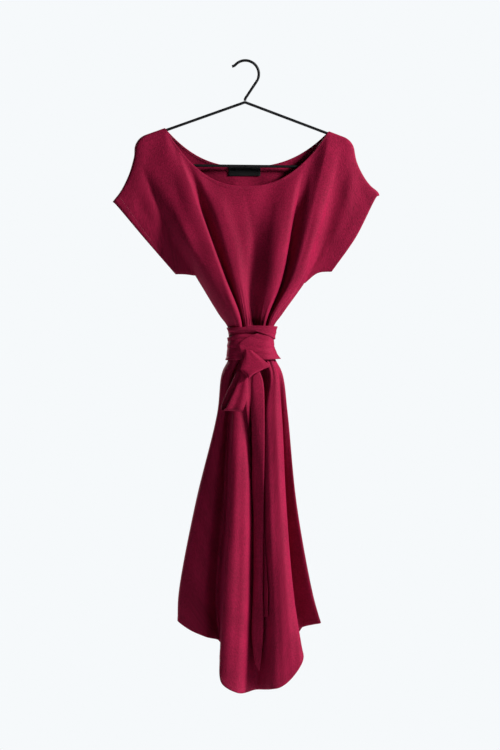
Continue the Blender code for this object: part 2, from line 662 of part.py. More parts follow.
def neck_label(black, back_grid):
    """A small flat piece 0.3 mm in front of the back panel's inner face."""
    columns, rows = 4, 2
    points = back_grid[~np.isnan(back_grid[:, :, 0])]
    grid = np.empty((rows + 1, columns + 1, 3))
    for r in range(rows + 1):
        z = LABEL_TOP + (LABEL_BOTTOM - LABEL_TOP) * r / rows
        for c in range(columns + 1):
            x = LABEL_LEFT + (LABEL_RIGHT - LABEL_LEFT) * c / columns
            reach = np.hypot(points[:, 0] - x, points[:, 2] - z)
            inner_face = points[reach < 14][:, 1].min() - CLOTH / 2
            grid[r, c] = x, inner_face - SEAM_GAP - LABEL_CLOTH / 2, z
    return sheet_object("neck_label", grid, LABEL_CLOTH, black)


def main():
    clear_scene()
    silk = material("silk", COLOURS["silk"], 0.42)
    paint = material("black_paint", COLOURS["black_paint"], 0.35)
    black = material("black_label", COLOURS["black_label"], 0.7)
    hanger_frame(paint)
    hanger_hook(paint)
    front, back = front_lines(), back_lines()
    front_grid, front_faces = panel_grid(front, back, FRONT_NECK, -1)
    back_grid, back_faces = panel_grid(back, front, BACK_NECK, 1)
    panel_objects("front", front_grid, front_faces, silk)
    panel_objects("back", back_grid, back_faces, silk)
    sash_wrap_upper(silk)
    sash_wrap_lower(silk)
    sash_wrap_cross(silk)
    sheet_object("sash_flap", strip_grid(FLAP_ROWS, 2, 4, FLAP_BULGE), SASH_CLOTH, silk)
    sheet_object("sash_loop", strip_grid(LOOP_ROWS, 2, 3, 1.0), SASH_CLOTH, silk)
    sheet_object("sash_tail_long", strip_grid(LONG_TAIL_ROWS, 2, TAIL_STEPS, 1.5), SASH_CLOTH, silk)
    sheet_object("sash_tail_short", strip_grid(SHORT_TAIL_ROWS, 2, TAIL_STEPS), SASH_CLOTH, silk)
    neck_label(black, back_grid)


main()
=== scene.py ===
from math import asin, atan2, cos, pi, radians, sin, sqrt

import bpy
import numpy as np
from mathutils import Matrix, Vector


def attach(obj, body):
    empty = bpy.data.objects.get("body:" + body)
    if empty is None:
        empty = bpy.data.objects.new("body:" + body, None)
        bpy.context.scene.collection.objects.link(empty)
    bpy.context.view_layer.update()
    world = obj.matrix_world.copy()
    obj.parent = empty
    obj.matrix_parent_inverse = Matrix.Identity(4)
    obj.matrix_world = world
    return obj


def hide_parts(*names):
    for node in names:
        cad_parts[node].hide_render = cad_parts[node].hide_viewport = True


# A silk dress tied with its sash, on a wire hanger. Sizes are in mm until a mesh is made.
# +Z is up, the dress faces -Y, and the origin is the inner top of the hanger's hook.
# Cloth is worked out as a grid of points, rows down by columns across, and then given a wall.

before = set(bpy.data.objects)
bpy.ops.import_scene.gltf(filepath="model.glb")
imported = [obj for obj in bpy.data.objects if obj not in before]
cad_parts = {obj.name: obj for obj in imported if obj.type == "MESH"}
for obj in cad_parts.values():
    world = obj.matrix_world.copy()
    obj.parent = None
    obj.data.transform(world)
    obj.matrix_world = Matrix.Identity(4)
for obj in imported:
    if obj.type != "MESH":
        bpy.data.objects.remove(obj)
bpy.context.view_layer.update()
bpy.ops.object.select_all(action="DESELECT")
mm = 0.001


# Nodes: props are the node's settings, values and links go to its sockets
def addNode(tree, kind, props=None, values=None, links=None):
    node = tree.nodes.new(kind)
    for name, value in (props or {}).items():
        setattr(node, name, value)
    for socket, value in (values or {}).items():
        node.inputs[socket].default_value = value
    for socket, source in (links or {}).items():
        tree.links.new(source, node.inputs[socket])
    return node


def linearColour(text):
    parts = [int(text[i:i + 2], 16) / 255 for i in (1, 3, 5)]
    return (*[v / 12.92 if v <= 0.04045 else ((v + 0.055) / 1.055) ** 2.4 for v in parts], 1.0)


def newMaterial(name, values):
    made = bpy.data.materials.new(name)
    made.use_nodes = True
    shader = made.node_tree.nodes["Principled BSDF"]
    for socket, value in values.items():
        shader.inputs[socket].default_value = value
    return made, made.node_tree, shader


# Silk crepe: fine twisted threads, so the light spreads softly, with a pink glow where it grazes the folds
silkLook = {
    "deep": "#50081D", "bright": "#851234", "sheen": "#D0225E",
    "grain": 2.2,  # mm. The real grain is 0.3 mm: drawn coarser so that it shows
    "longGrain": 0.45,  # each grain is about twice as long as it is wide
    "mottle": 60.0,  # mm
    "grainShare": 0.75, "grainOffset": -0.25, "mottleShare": 0.5, "deepUpTo": 0.35,
    "bump": (0.6, 0.5),  # strength, and height in mm, here and below
}


def silkCrepe():
    made, tree, shader = newMaterial("silk_crepe", {
        "Roughness": 0.7, "IOR": 1.5, "Sheen Weight": 0.1, "Sheen Roughness": 0.4,
        "Sheen Tint": linearColour(silkLook["sheen"]), "Specular IOR Level": 0.06,
    })
    place = addNode(tree, "ShaderNodeUVMap", {"uv_map": "cloth"})
    fine = 1 / (silkLook["grain"] * mm)
    drawnOut = fine * silkLook["longGrain"]
    threads = []
    for scale in ((fine, drawnOut, 1), (drawnOut, fine, 1)):  # weft, then warp
        spread = addNode(tree, "ShaderNodeMapping", values={"Scale": scale}, links={"Vector": place.outputs[0]})
        threads.append(addNode(tree, "ShaderNodeTexNoise", values={"Scale": 1.0, "Detail": 2.0, "Roughness": 0.6},
                               links={"Vector": spread.outputs[0]}))
    grain = addNode(tree, "ShaderNodeMath", {"operation": "ADD"},
                    links={0: threads[0].outputs[0], 1: threads[1].outputs[0]})
    mottle = addNode(tree, "ShaderNodeTexNoise", values={"Scale": 1 / (silkLook["mottle"] * mm), "Detail": 3.0},
                     links={"Vector": place.outputs[0]})
    shade = addNode(tree, "ShaderNodeMath", {"operation": "MULTIPLY_ADD"},
                    values={1: silkLook["grainShare"], 2: silkLook["grainOffset"]}, links={0: grain.outputs[0]})
    mixed = addNode(tree, "ShaderNodeMath", {"operation": "MULTIPLY_ADD"}, values={1: silkLook["mottleShare"]},
                    links={0: mottle.outputs[0], 2: shade.outputs[0]})
    colour = addNode(tree, "ShaderNodeValToRGB", links={"Fac": mixed.outputs[0]})
    for stop, at, shown in zip(colour.color_ramp.elements, (silkLook["deepUpTo"], 1.0), ("deep", "bright")):
        stop.position, stop.color = at, linearColour(silkLook[shown])
    strength, height = silkLook["bump"]
    bump = addNode(tree, "ShaderNodeBump", values={"Strength": strength, "Distance": height * mm},
                   links={"Height": grain.outputs[0]})
    tree.links.new(colour.outputs[0], shader.inputs["Base Color"])
    tree.links.new(bump.outputs[0], shader.inputs["Normal"])
    return made


# Powder-coated steel wire: an even, slightly soft black with fine orange peel, 0.8 mm across
paintLook = {"black": "#08080A", "peel": 0.8, "roughness": (0.46, 0.6), "bump": (0.12, 0.1)}


def blackPaint():
    made, tree, shader = newMaterial("powder_coated_wire", {
        "Base Color": linearColour(paintLook["black"]), "Roughness": 0.5, "IOR": 1.5, "Specular IOR Level": 0.2,
    })
    place = addNode(tree, "ShaderNodeTexCoord")
    peel = addNode(tree, "ShaderNodeTexNoise", values={"Scale": 1 / (paintLook["peel"] * mm), "Detail": 2.0},
                   links={"Vector": place.outputs["Object"]})
    strength, height = paintLook["bump"]
    bump = addNode(tree, "ShaderNodeBump", values={"Strength": strength, "Distance": height * mm},
                   links={"Height": peel.outputs[0]})
    low, high = paintLook["roughness"]
    wear = addNode(tree, "ShaderNodeMapRange", values={3: low, 4: high}, links={0: peel.outputs[0]})
    tree.links.new(wear.outputs[0], shader.inputs["Roughness"])
    tree.links.new(bump.outputs[0], shader.inputs["Normal"])
    return made


# Woven polyester tape: fine ribs across, 0.9 mm apart, a dull black
tapeLook = {"black": "#08080A", "rib": 0.9, "bump": (0.5, 0.2),
            "band": 0.314}  # how wide the wave pattern's own bands are, at scale 1


def blackTape():
    made, tree, shader = newMaterial("black_woven_tape", {
        "Base Color": linearColour(tapeLook["black"]), "Roughness": 0.8, "Sheen Weight": 0.05,
        "Specular IOR Level": 0.15,
    })
    place = addNode(tree, "ShaderNodeTexCoord")
    ribs = addNode(tree, "ShaderNodeTexWave", {"bands_direction": "Z"},
                   values={"Scale": tapeLook["band"] / (tapeLook["rib"] * mm), "Distortion": 0.4},
                   links={"Vector": place.outputs["Object"]})
    strength, height = tapeLook["bump"]
    bump = addNode(tree, "ShaderNodeBump", values={"Strength": strength, "Distance": height * mm},
                   links={"Height": ribs.outputs[0]})
    tree.links.new(bump.outputs[0], shader.inputs["Normal"])
    return made


# Spun sewing thread in the cloth's own colour: a little darker and duller than the silk, twisted every 0.9 mm
threadLook = {"dark": "#5E0A22", "light": "#8A1A3A", "sheen": "#E0508F", "twist": 0.9}


def spunThread():
    made, tree, shader = newMaterial("spun_thread", {
        "Roughness": 0.62, "Sheen Weight": 0.25, "Sheen Tint": linearColour(threadLook["sheen"]),
    })
    place = addNode(tree, "ShaderNodeTexCoord")
    twist = addNode(tree, "ShaderNodeTexNoise", values={"Scale": 1 / (threadLook["twist"] * mm)},
                    links={"Vector": place.outputs["Object"]})
    colour = addNode(tree, "ShaderNodeMixRGB",
                     values={1: linearColour(threadLook["dark"]), 2: linearColour(threadLook["light"])},
                     links={0: twist.outputs[0]})
    tree.links.new(colour.outputs[0], shader.inputs["Base Color"])
    return made


# A smooth curve through points, sampled at the shares given for each stretch
def throughPoints(points, shares, before=None, after=None, corners=()):
    known = np.array(points, float)
    count = len(known)
    gaps = np.maximum(np.linalg.norm(np.diff(known, axis=0), axis=1), 1e-3) ** 0.5
    chords = np.diff(known, axis=0) / gaps[:, None]
    arriving, leaving = np.empty_like(known), np.empty_like(known)
    for i in range(count):
        if i in corners or (i == 0 and before is None) or (i == count - 1 and after is None):
            arriving[i], leaving[i] = chords[max(i - 1, 0)], chords[min(i, count - 2)]
            continue
        lastGap, last = (gaps[i - 1], chords[i - 1]) if i else chordOf(before, known[0])
        nextGap, onward = (gaps[i], chords[i]) if i < count - 1 else chordOf(known[-1], after)
        arriving[i] = leaving[i] = (last * nextGap + onward * lastGap) / (lastGap + nextGap)
    curve = []
    for i in range(count - 1):
        t = np.array(shares[i])[:, None]
        rise, fall = leaving[i] * gaps[i] * (t - 2 * t**2 + t**3), arriving[i + 1] * gaps[i] * (t**3 - t**2)
        along = 3 * t**2 - 2 * t**3
        curve.append(known[i] * (1 - along) + known[i + 1] * along + rise + fall)
    return np.concatenate([*curve, known[-1:]])


def chordOf(start, end):
    gap = max(float(np.linalg.norm(np.subtract(end, start))), 1e-3) ** 0.5
    return gap, np.subtract(end, start) / gap


def even(count):
    return [k / count for k in range(count)]


def curveThrough(points, steps):
    return throughPoints(points, [even(steps)] * (len(points) - 1))


def distancesAlong(line):
    return np.concatenate(([0], np.cumsum(np.linalg.norm(np.diff(line, axis=0), axis=1))))


# The same line with its points spaced anew: evenly, then at the distances "ends" before its end
def respaced(line, count, ends):
    lengths = distancesAlong(line)
    at = [*np.linspace(0, lengths[-1] - ends[0], count - len(ends), endpoint=False),
          *[lengths[-1] - d for d in ends], lengths[-1]]
    return np.stack([np.interp(at, lengths, line[:, k]) for k in range(3)], axis=1)


# Each inner point moves towards the middle of its neighbours; edges stay
def softened(grid, times):
    for axis in [0, 1] * times:
        before, after = np.roll(grid, 1, axis), np.roll(grid, -1, axis)
        middle = grid * 0.5 + (before + after) * 0.25
        inside = ~np.isnan(middle[:, :, 0])
        for step in (-1, 1):
            for side in (0, 1):
                inside &= ~np.isnan(np.roll(grid, step, side)[:, :, 0])
        inside[[0, -1]] = False
        inside[:, [0, -1]] = False
        grid = np.where(inside[:, :, None], middle, grid)
    return grid


def cellsOf(grid, around):
    rows, columns = grid.shape[:2]
    present = ~np.isnan(grid[:, :, 0])
    cells = []
    for r in range(rows - 1):
        for c in range(columns if around else columns - 1):
            after = (c + 1) % columns
            if present[r, c] and present[r + 1, c] and present[r + 1, after] and present[r, after]:
                cells.append((r, c, r + 1, after))
    return cells


def normalsOf(grid, cells, faces=None):
    normals = np.zeros_like(grid)
    for r, c, below, after in cells:
        across = np.cross(grid[below, after] - grid[r, c], grid[r, after] - grid[below, c])
        for place in ((r, c), (below, c), (below, after), (r, after)):
            normals[place] += across
    lengths = np.linalg.norm(normals, axis=2)
    normals /= np.where(lengths > 0, lengths, 1)[:, :, None]
    if faces is not None:
        normals = np.where(np.isnan(faces), normals, faces)
    return normals


def meshFrom(name, points, faces, finish):
    mesh = bpy.data.meshes.new(name)
    mesh.from_pydata([tuple(p * mm) for p in points], [], faces)
    mesh.materials.append(finish)
    return mesh


def placed(data):
    made = bpy.data.objects.new(data.name, data)
    bpy.context.scene.collection.objects.link(made)
    return made


# A closed cloth wall on a grid, its edges rounded. thickness is one number or one for each point.
def clothWall(name, grid, thickness, finish, faces=None, around=False):
    cells = cellsOf(grid, around)
    normals = normalsOf(grid, cells, faces)
    half = (np.full(grid.shape[:2], thickness) if np.isscalar(thickness) else thickness)[:, :, None] / 2
    outer, inner = grid + normals * half, grid - normals * half
    used = sorted({(r, c) for above, left, below, right in cells for r in (above, below) for c in (left, right)})
    number = {place: i for i, place in enumerate(used)}
    count = len(used)
    quads, edges = [], {}
    for r, c, below, after in cells:
        ring = [number[(r, c)], number[(below, c)], number[(below, after)], number[(r, after)]]
        quads.append(ring)
        quads.append([i + count for i in reversed(ring)])
        for a, b in zip(ring, ring[1:] + ring[:1]):
            if edges.pop((b, a), None) is None:
                edges[(a, b)] = True
    rim, outward = {}, {}
    for a, b in edges:
        way = np.subtract(grid[used[b]], grid[used[a]])
        for i in (a, b):
            out = np.cross(way, normals[used[i]])
            outward[i] = outward.get(i, 0) + out / max(np.linalg.norm(out), 1e-9)
    middle = []
    for i, out in outward.items():
        rim[i] = 2 * count + len(middle)
        middle.append(grid[used[i]] + out / max(np.linalg.norm(out), 1e-9) * half[used[i]])
    for a, b in edges:
        quads += [[b, a, rim[a], rim[b]], [rim[b], rim[a], a + count, b + count]]
    points = [*[outer[place] for place in used], *[inner[place] for place in used], *middle]
    mesh = meshFrom(name, points, quads, finish)
    mesh.shade_smooth()
    flat = flatPlaces(grid)
    spots = [flat[place] for place in used] * 2 + [flat[used[i]] for i in outward]
    layer = mesh.uv_layers.new(name="cloth")
    corner = np.empty(len(mesh.loops), int)
    mesh.loops.foreach_get("vertex_index", corner)
    layer.data.foreach_set("uv", (np.array(spots)[corner] * mm).ravel())
    return placed(mesh)


# Where each point lay in the flat cloth: distances along its row and down its column
def flatPlaces(grid):
    across = np.nan_to_num(np.linalg.norm(np.diff(grid, axis=1), axis=2))
    down = np.nan_to_num(np.linalg.norm(np.diff(grid, axis=0), axis=2))
    u = np.concatenate((np.zeros((grid.shape[0], 1)), np.cumsum(across, axis=1)), axis=1)
    v = np.concatenate((np.zeros((1, grid.shape[1])), np.cumsum(down, axis=0)), axis=0)
    u -= u[:, [grid.shape[1] // 2]]
    return np.stack((u, -v), axis=2)


# The hanger: one wire bent into a frame, and its hook
hanger = {
    "wire": 5.2, "sides": 20, "tilt": radians(-0.6),
    "halfSpan": 202.5, "endRadius": 27.0, "apex": 76.0, "bar": 196.0, "apexRadius": 9.0,
    "hookFoot": -73.2, "hookRadius": 25.4, "hookTurn": radians(138),
    "neckRadius": 6.0, "neckBend": radians(33), "tipRadius": 9.0, "tipBend": radians(36), "tipLength": 1.5,
}


def tilted(x, z):
    turn = hanger["tilt"]
    return x * cos(turn) - z * sin(turn), x * sin(turn) + z * cos(turn)


# The slope of the hanger's shoulders, which just touch its round ends
def shoulderSlope():
    across = hanger["halfSpan"] - hanger["endRadius"]
    drop = hanger["bar"] - hanger["endRadius"] - hanger["apex"]
    return atan2(drop, across) - asin(hanger["endRadius"] / sqrt(across**2 + drop**2))


dress = {
    "thickness": 0.75, "wrap": 4.4, "gap": 0.02, "neckLeft": -151.5, "neckRight": 157.0,
    "frontNeck": (-235.0, 2.3), "backNeck": (-197.5, 2.45),  # lowest point, and how round the curve is
    "heights": (-300.0, None, -475.0, -503.0, -552.0, -585.0, -660.0, -830.0, -1000.0, None),
    "underarm": (-402.0, -418.0),
    "rows": (3, 3, 15, 12, 13, 5, 7, 5, 11, 16, 16, 17),
    "stretch": 11, "sleeveStretch": 9,  # columns between two fold lines, and between two lines of a sleeve
    "cornerEase": 1.25,  # how much closer the columns stand at the neck's corners
    "neckRows": (0.4, 3.0),  # how far each row at the neck edge leans out and drops
    "hemDepth": 7.0, "hemLayers": 0.5, "neckHem": 5.0,
    "pressed": 60.0,  # how far below the underarm the side seams lie flat
}
underarmLevel, hemLevel = 2, 10
underarmRow = sum(dress["rows"][:4])

sleeveOutline = {
    "left": ((-249, -263), (-234, -243), (-225, -226), (-217, -207), (-211, -186), (-208.2, -174)),
    "right": ((251.5, -251), (249, -245), (236, -234), (225, -220), (214.5, -201), (208.5, -186)),
}
# For each sleeve, at its edge and halfway in: x, z at the chest, x, z at the under seam, and its fullness
sleeveLines = {
    "left": ((-190, -331, -131, -399, 7.5), (-168, -308, -113, -399.5, 8.5)),
    "right": ((207, -330, 162, -394, 7.5), (186, -306, 136, -397, 11)),
}

# x of each fold line from the shoulder or neck edge down to the hem, y likewise, and the height of its hem
frontFolds = {
    "leftSide": {"x": (-203, -150, -94, -49.6, -30.8, -29, -44, -52.8, -93.8, -125.5, -127.5),
                 "y": (0, -8, 0, 0, 0, 0, 2, 6, 10, 12, 12), "hem": -1051},
    "neckLeft": {"x": (-151.5, -122, -73, -33, -20, -19.5, -36, -46.8, -81.6, -106, -104.2),
                 "y": (0, -23, -33, -29, -20, -16.5, -9, -2, -3, -5, -6), "hem": -1067.5},
    "broadRidge": {"x": (-126, -78, -39.5, -12.5, -7.5, -13, -27, -40.2, -60.9, -77.8, -74.1),
                   "y": (-7, -29, -38, -32, -22.5, -20.5, -12, -3, -5, -7, -9), "hem": -1080.5},
    "darkValley": {"x": (-104, -75.8, -38, -10.6, -5, -8.5, -20, -30.8, -38.4, -53.4, -48),
                   "y": (-7, -9, -13, -12, -10.5, -10.5, -2, 8, 14, 18, 18), "hem": -1089.5},
    "softShoulder": {"x": (-88, -52, -23, -5.5, -1, -5.5, -15, -25, -33, -42, -48),
                     "y": (-9, -24, -29.5, -26, -20, -17, -15, -18, -28, -38, -37), "hem": -1120},
    "softRidge": {"x": (-70, -32, -10, 0.5, 2.6, -2.5, -11, -21.4, -29.5, -38.5, -44),
                  "y": (-10, -25, -29.5, -27, -21, -22, -20, -29.5, -42, -51.5, -58), "hem": -1165},
    "middleRidge": {"x": (-24, -4, 0, 8, 10, 8, 3, -0.8, 3, -0.8, -14),
                    "y": (-13, -21, -25, -24, -19.5, -14, -13, -26.5, -39.5, -50, -57), "hem": -1183},
    "middleValley": {"x": (32, 24, 13, 15.5, 18, 22, 32, 17, 19.9, 19.9, 19.9),
                     "y": (-11, -17.5, -21, -18.5, -16, -9, -6, -3, -7, -11, -14), "hem": -1179},
    "brightShoulder": {"x": (70, 60, 42, 30, 27.5, 30.5, 40, 28, 33, 36.5, 37),
                       "y": (-9, -28, -36, -29, -20.5, -16, -17, -18, -27, -34, -38), "hem": -1177.5},
    "brightRidge": {"x": (99, 87, 65, 41.8, 34, 37.5, 48, 38.5, 42.6, 49.4, 49.5),
                    "y": (-7.5, -26.5, -34, -29, -22, -21, -27, -33, -46, -55, -60.5), "hem": -1175.5},
    "sharpValley": {"x": (112, 90.6, 67.6, 44, 37, 40.8, 51.5, 48.1, 54.7, 63.2, 65),
                    "y": (-7, -12, -11, -12, -12.5, -16, -25.5, -35.5, -49, -60, -65.5), "hem": -1172},
    "neckRight": {"x": (157, 118, 84, 50.5, 42, 45, 56, 57.5, 66.9, 78.2, 85.7),
                  "y": (0, -27, -36, -27, -19.5, -17, -25.5, -33.5, -46.5, -57.5, -63.5), "hem": -1156},
    "narrowRidge": {"x": (176, 140, 100, 58, 46, 48.5, 60, 67.9, 76.3, 90.4, 108),
                    "y": (0, -24, -31, -23, -14, -15, -22.5, -25, -36, -46, -53), "hem": -1121},
    "softValley": {"x": (190, 147, 102.5, 60.5, 47.6, 50.2, 61.5, 63.2, 70.7, 82, 98.9),
                   "y": (0, -13, -15, -11, -7.5, -8, -5, 5, 12, 17, 19), "hem": -1068},
    "rightSide": {"x": (205, 166, 109.5, 68.5, 50, 53, 69, 79.2, 96, 126.5, 141.6),
                  "y": (0, -10, 0, 0, 0, 0, 1, 2, 2, 2, 2), "hem": -1055},
}

backFolds = {
    "neckLeft": {"top": -151.5, "below": 0.11, "stands": 0.8, "drop": 8},
    "valley1": {"top": -104, "below": 0.22, "stands": -0.7, "drop": 19},
    "ridge2": {"top": -68, "below": 0.33, "stands": 1, "drop": 52},
    "valley2": {"top": -28, "below": 0.43, "stands": -1, "drop": 84},
    "ridge3": {"top": 10, "below": 0.55, "stands": 0.9, "drop": 98},
    "valley3": {"top": 58, "below": 0.66, "stands": -0.8, "drop": 92},
    "ridge4": {"top": 106, "below": 0.77, "stands": 1.1, "drop": 58},
    "neckRight": {"top": 157, "below": 0.89, "stands": -0.4, "drop": 5},
}

backDepth = (7.5, 13, 20, 17.5, 14, 14.5, 19, 25, 33, 41, 43)
backFoldHeight = (0, 3.5, 8, 8, 7.5, 7.5, 7.5, 8, 9, 11, 12)


def onNeckEdge(x):
    return (x > dress["neckLeft"] + 0.5) & (x < dress["neckRight"] - 0.5)


def shoulderOutline(side, clearance):
    sign = -1 if side == "left" else 1
    centreX, centreZ = sign * (hanger["halfSpan"] - hanger["endRadius"]), hanger["endRadius"] - hanger["bar"]
    radius, slope = hanger["endRadius"] + clearance, shoulderSlope()
    turns = np.linspace(radians(2), pi / 2 - slope, 17)
    points = [(centreX + sign * radius * cos(t), centreZ + radius * sin(t)) for t in turns]
    points.append((0.0, -hanger["apex"] + clearance / cos(slope)))
    return [tilted(x, z) for x, z in points]


# The whole top edge of a panel, from the left sleeve's tip to the right one's
def topEdge(neck):
    halves = {}
    for side in ("left", "right"):
        over = shoulderOutline(side, dress["wrap"])
        known = [(x, 0, z) for x, z in (*sleeveOutline[side], over[0])]
        hanging = curveThrough(known, 8)
        neckX = dress["neckLeft" if side == "left" else "neckRight"]
        outline = [(p[0], p[2]) for p in hanging] + over
        neckZ = float(np.interp(abs(neckX), [abs(p[0]) for p in over[::-1]], [p[1] for p in over[::-1]]))
        halves[side] = [p for p in outline if abs(p[0]) > abs(neckX) + 0.5] + [(neckX, neckZ)]
    low, curve = neck
    middle = []
    for x in np.linspace(dress["neckLeft"], dress["neckRight"], 160)[1:-1]:
        edge, edgeZ = halves["left" if x < 0 else "right"][-1]
        middle.append((x, low + (edgeZ - low) * abs(x / edge) ** curve))
    return np.array(halves["left"] + middle + halves["right"][::-1])


# Points of an outline between the stops (x values), with the directions into the cloth
def placesAlong(outline, stops, shares):
    lengths = distancesAlong(outline)
    atStops = np.interp(stops, outline[:, 0], lengths)
    wanted = np.array([atStops[i] + (atStops[i + 1] - atStops[i]) * t
                       for i, each in enumerate(shares) for t in each] + [atStops[-1]])
    place, ahead, behind = (np.stack([np.interp(wanted + d, lengths, outline[:, k]) for k in (0, 1)], axis=1)
                            for d in (0, 2, -2))
    along = (ahead - behind) / np.linalg.norm(ahead - behind, axis=1)[:, None]
    return place, np.stack([along[:, 1], -along[:, 0]], axis=1)


# Each level lies flat but the underarms', which runs at a slant between them
def levelHeight(level, x):
    if level != underarmLevel:
        return dress["heights"][level - 1]
    left, right = (frontFolds[side]["x"][underarmLevel] for side in ("leftSide", "rightSide"))
    return dress["underarm"][0] + (dress["underarm"][1] - dress["underarm"][0]) * (x - left) / (right - left)


# Each line: where it starts at the top, how far out it is there, and its points below
def frontLines():
    lines = []
    for fold in frontFolds.values():
        points = [(fold["x"][level], fold["y"][level],
                   fold["hem"] if level == hemLevel else levelHeight(level, fold["x"][level]))
                  for level in range(1, hemLevel + 1)]
        lines.append((fold["x"][0], fold["y"][0], points))
    return lines


# The back's lines share the side seams and are spaced between them at every level
def backLines():
    left, *_, right = frontLines()
    lines = [left]
    for fold in backFolds.values():
        atTop = (fold["top"] - left[0]) / (right[0] - left[0])
        points = []
        for level, (a, b) in enumerate(zip(left[2], right[2]), start=1):
            share = atTop + (fold["below"] - atTop) * min(level / 4, 1)
            x = a[0] + (b[0] - a[0]) * share
            hem = a[2] + (b[2] - a[2]) * share - fold["drop"]
            points.append((x, backDepth[level] + backFoldHeight[level] * fold["stands"],
                           hem if level == hemLevel else levelHeight(level, x)))
        lines.append((fold["top"], backDepth[0], points))
    return [*lines, right]


# At the chest the side seams of the back are those of the front, mirrored
def seamPoints(points, sign, level):
    parted = [list(p) for p in points]
    if level == 1 and sign > 0:
        for end in (0, -1):
            parted[end][1] *= -1
    return parted


# Cloth over the wire at the shoulders, or straight down from the neck edge
def topRows(place, inward, depth, sign, onNeck):
    rows, (lean, drop) = [], dress["neckRows"]
    for k, turn in enumerate((0, pi / 4, pi / 2)):
        if onNeck:
            rows.append((place[0], sign * (max(depth, dress["wrap"]) + lean * k), place[1] - drop * k))
            continue
        into, out = dress["wrap"] * (1 - cos(turn)), dress["gap"] + (dress["wrap"] - dress["gap"]) * sin(turn)
        rows.append((place[0] + inward[0] * into, sign * out, place[1] + inward[1] * into))
    return rows


# The columns between two lines of the neck, closer together at its left and right corners
def neckShares(count, left, right):
    ease = dress["cornerEase"]
    if right:
        return [1 - (1 - t) ** ease for t in even(count)]
    return [t ** ease for t in even(count)] if left else even(count)


# A panel's grid. sign is -1 for the front and 1 for the back. faces holds the way the cloth must face along
# its seams and shoulders, and is empty elsewhere. skip is how many columns each sleeve has.
def panelGrid(lines, others, neck, sign):
    count = dress["stretch"]
    inner = [even(count)] * (len(lines) - 1)
    sleeve = [even(dress["sleeveStretch"])] * 2
    steps = [*sleeve, *inner, *sleeve]
    sections = []
    for level in range(1, hemLevel + 1):
        points = seamPoints([line[2][level - 1] for line in lines], sign, level)
        facing = seamPoints([line[2][level - 1] for line in others], -sign, level)
        if level <= underarmLevel:
            left, right = ([(x, sign * full, z) if level == 1 else (ux, 0, uz)
                            for x, z, ux, uz, full in sleeveLines[side]] for side in ("left", "right"))
            ends = (2, 1 + len(points)) if level == underarmLevel else ()
            sections.append(throughPoints(left + points + right[::-1], steps, corners=ends))
        else:
            sections.append(throughPoints(points, inner, before=facing[1], after=facing[-2]))
    tips = [sleeveOutline[side][0][0] for side in ("left", "right")]
    halfway = [sleeveOutline[side][3][0] for side in ("left", "right")]
    stops = [tips[0], halfway[0], *[line[0] for line in lines], halfway[1], tips[1]]
    top = [neckShares(count, a[0] == dress["neckLeft"], b[0] == dress["neckRight"])
           for a, b in zip(lines, lines[1:])]
    places, inward = placesAlong(topEdge(neck), stops, [*sleeve, *top, *sleeve])
    depths = np.interp(places[:, 0], stops, [0, 0, *[abs(line[1]) for line in lines], 0, 0])
    skip, width = 2 * dress["sleeveStretch"], len(places)
    grid = np.full((sum(dress["rows"]) + 1, width, 3), np.nan)
    faces = np.full_like(grid, np.nan)
    for c in range(width):
        onNeck = onNeckEdge(places[c][0])
        path = topRows(places[c], inward[c], depths[c], sign, onNeck)
        below = range(hemLevel) if skip <= c < width - skip else range(underarmLevel)
        path += [sections[k][c] if k < underarmLevel else sections[k][c - skip] for k in below]
        corner = (2 + underarmLevel,) if c in (skip, width - 1 - skip) else ()
        column = throughPoints(path, [even(n) for n in dress["rows"][:len(path) - 1]], corners=corner)
        if len(below) == hemLevel:  # the last stretch gets rows along the turned hem
            depth, start = dress["hemDepth"], sum(dress["rows"][:-1])
            column[start:] = respaced(column[start:], dress["rows"][-1], (depth + 1.0, depth, depth * 0.5))
        grid[:len(column), c] = column
        if not onNeck:
            faces[0, c] = sign * inward[c][0], 0, sign * inward[c][1]
    pressSeams(grid, faces, skip, sign)
    return grid, faces, skip


# The side and underarm seams: both panels meet there, and their edges are pressed flat
def pressSeams(grid, faces, skip, sign):
    level = underarmRow
    rows, width = grid.shape[:2]
    half = dress["thickness"] / 2 + dress["gap"]
    for c in [*range(skip), *range(width - skip, width)]:
        faces[level, c] = 0, -1, 0
        grid[level, c, 1] += sign * half
    for c, outward in ((skip, -1), (width - 1 - skip, 1)):
        for r in range(level, rows):
            along = grid[min(r + 1, rows - 1), c] - grid[r - 1, c]
            across = np.array([-along[2], 0, along[0]]) / np.hypot(along[0], along[2])
            across *= -sign * outward * np.sign(across[0])
            flat = max(0.0, 1 - (grid[level, c, 2] - grid[r, c, 2]) / dress["pressed"])
            facing = flat * np.array([0, -1, 0]) + (1 - flat) * across
            faces[r, c] = facing / np.linalg.norm(facing)
            grid[r, c, 1] += sign * half * abs(faces[r, c, 1])


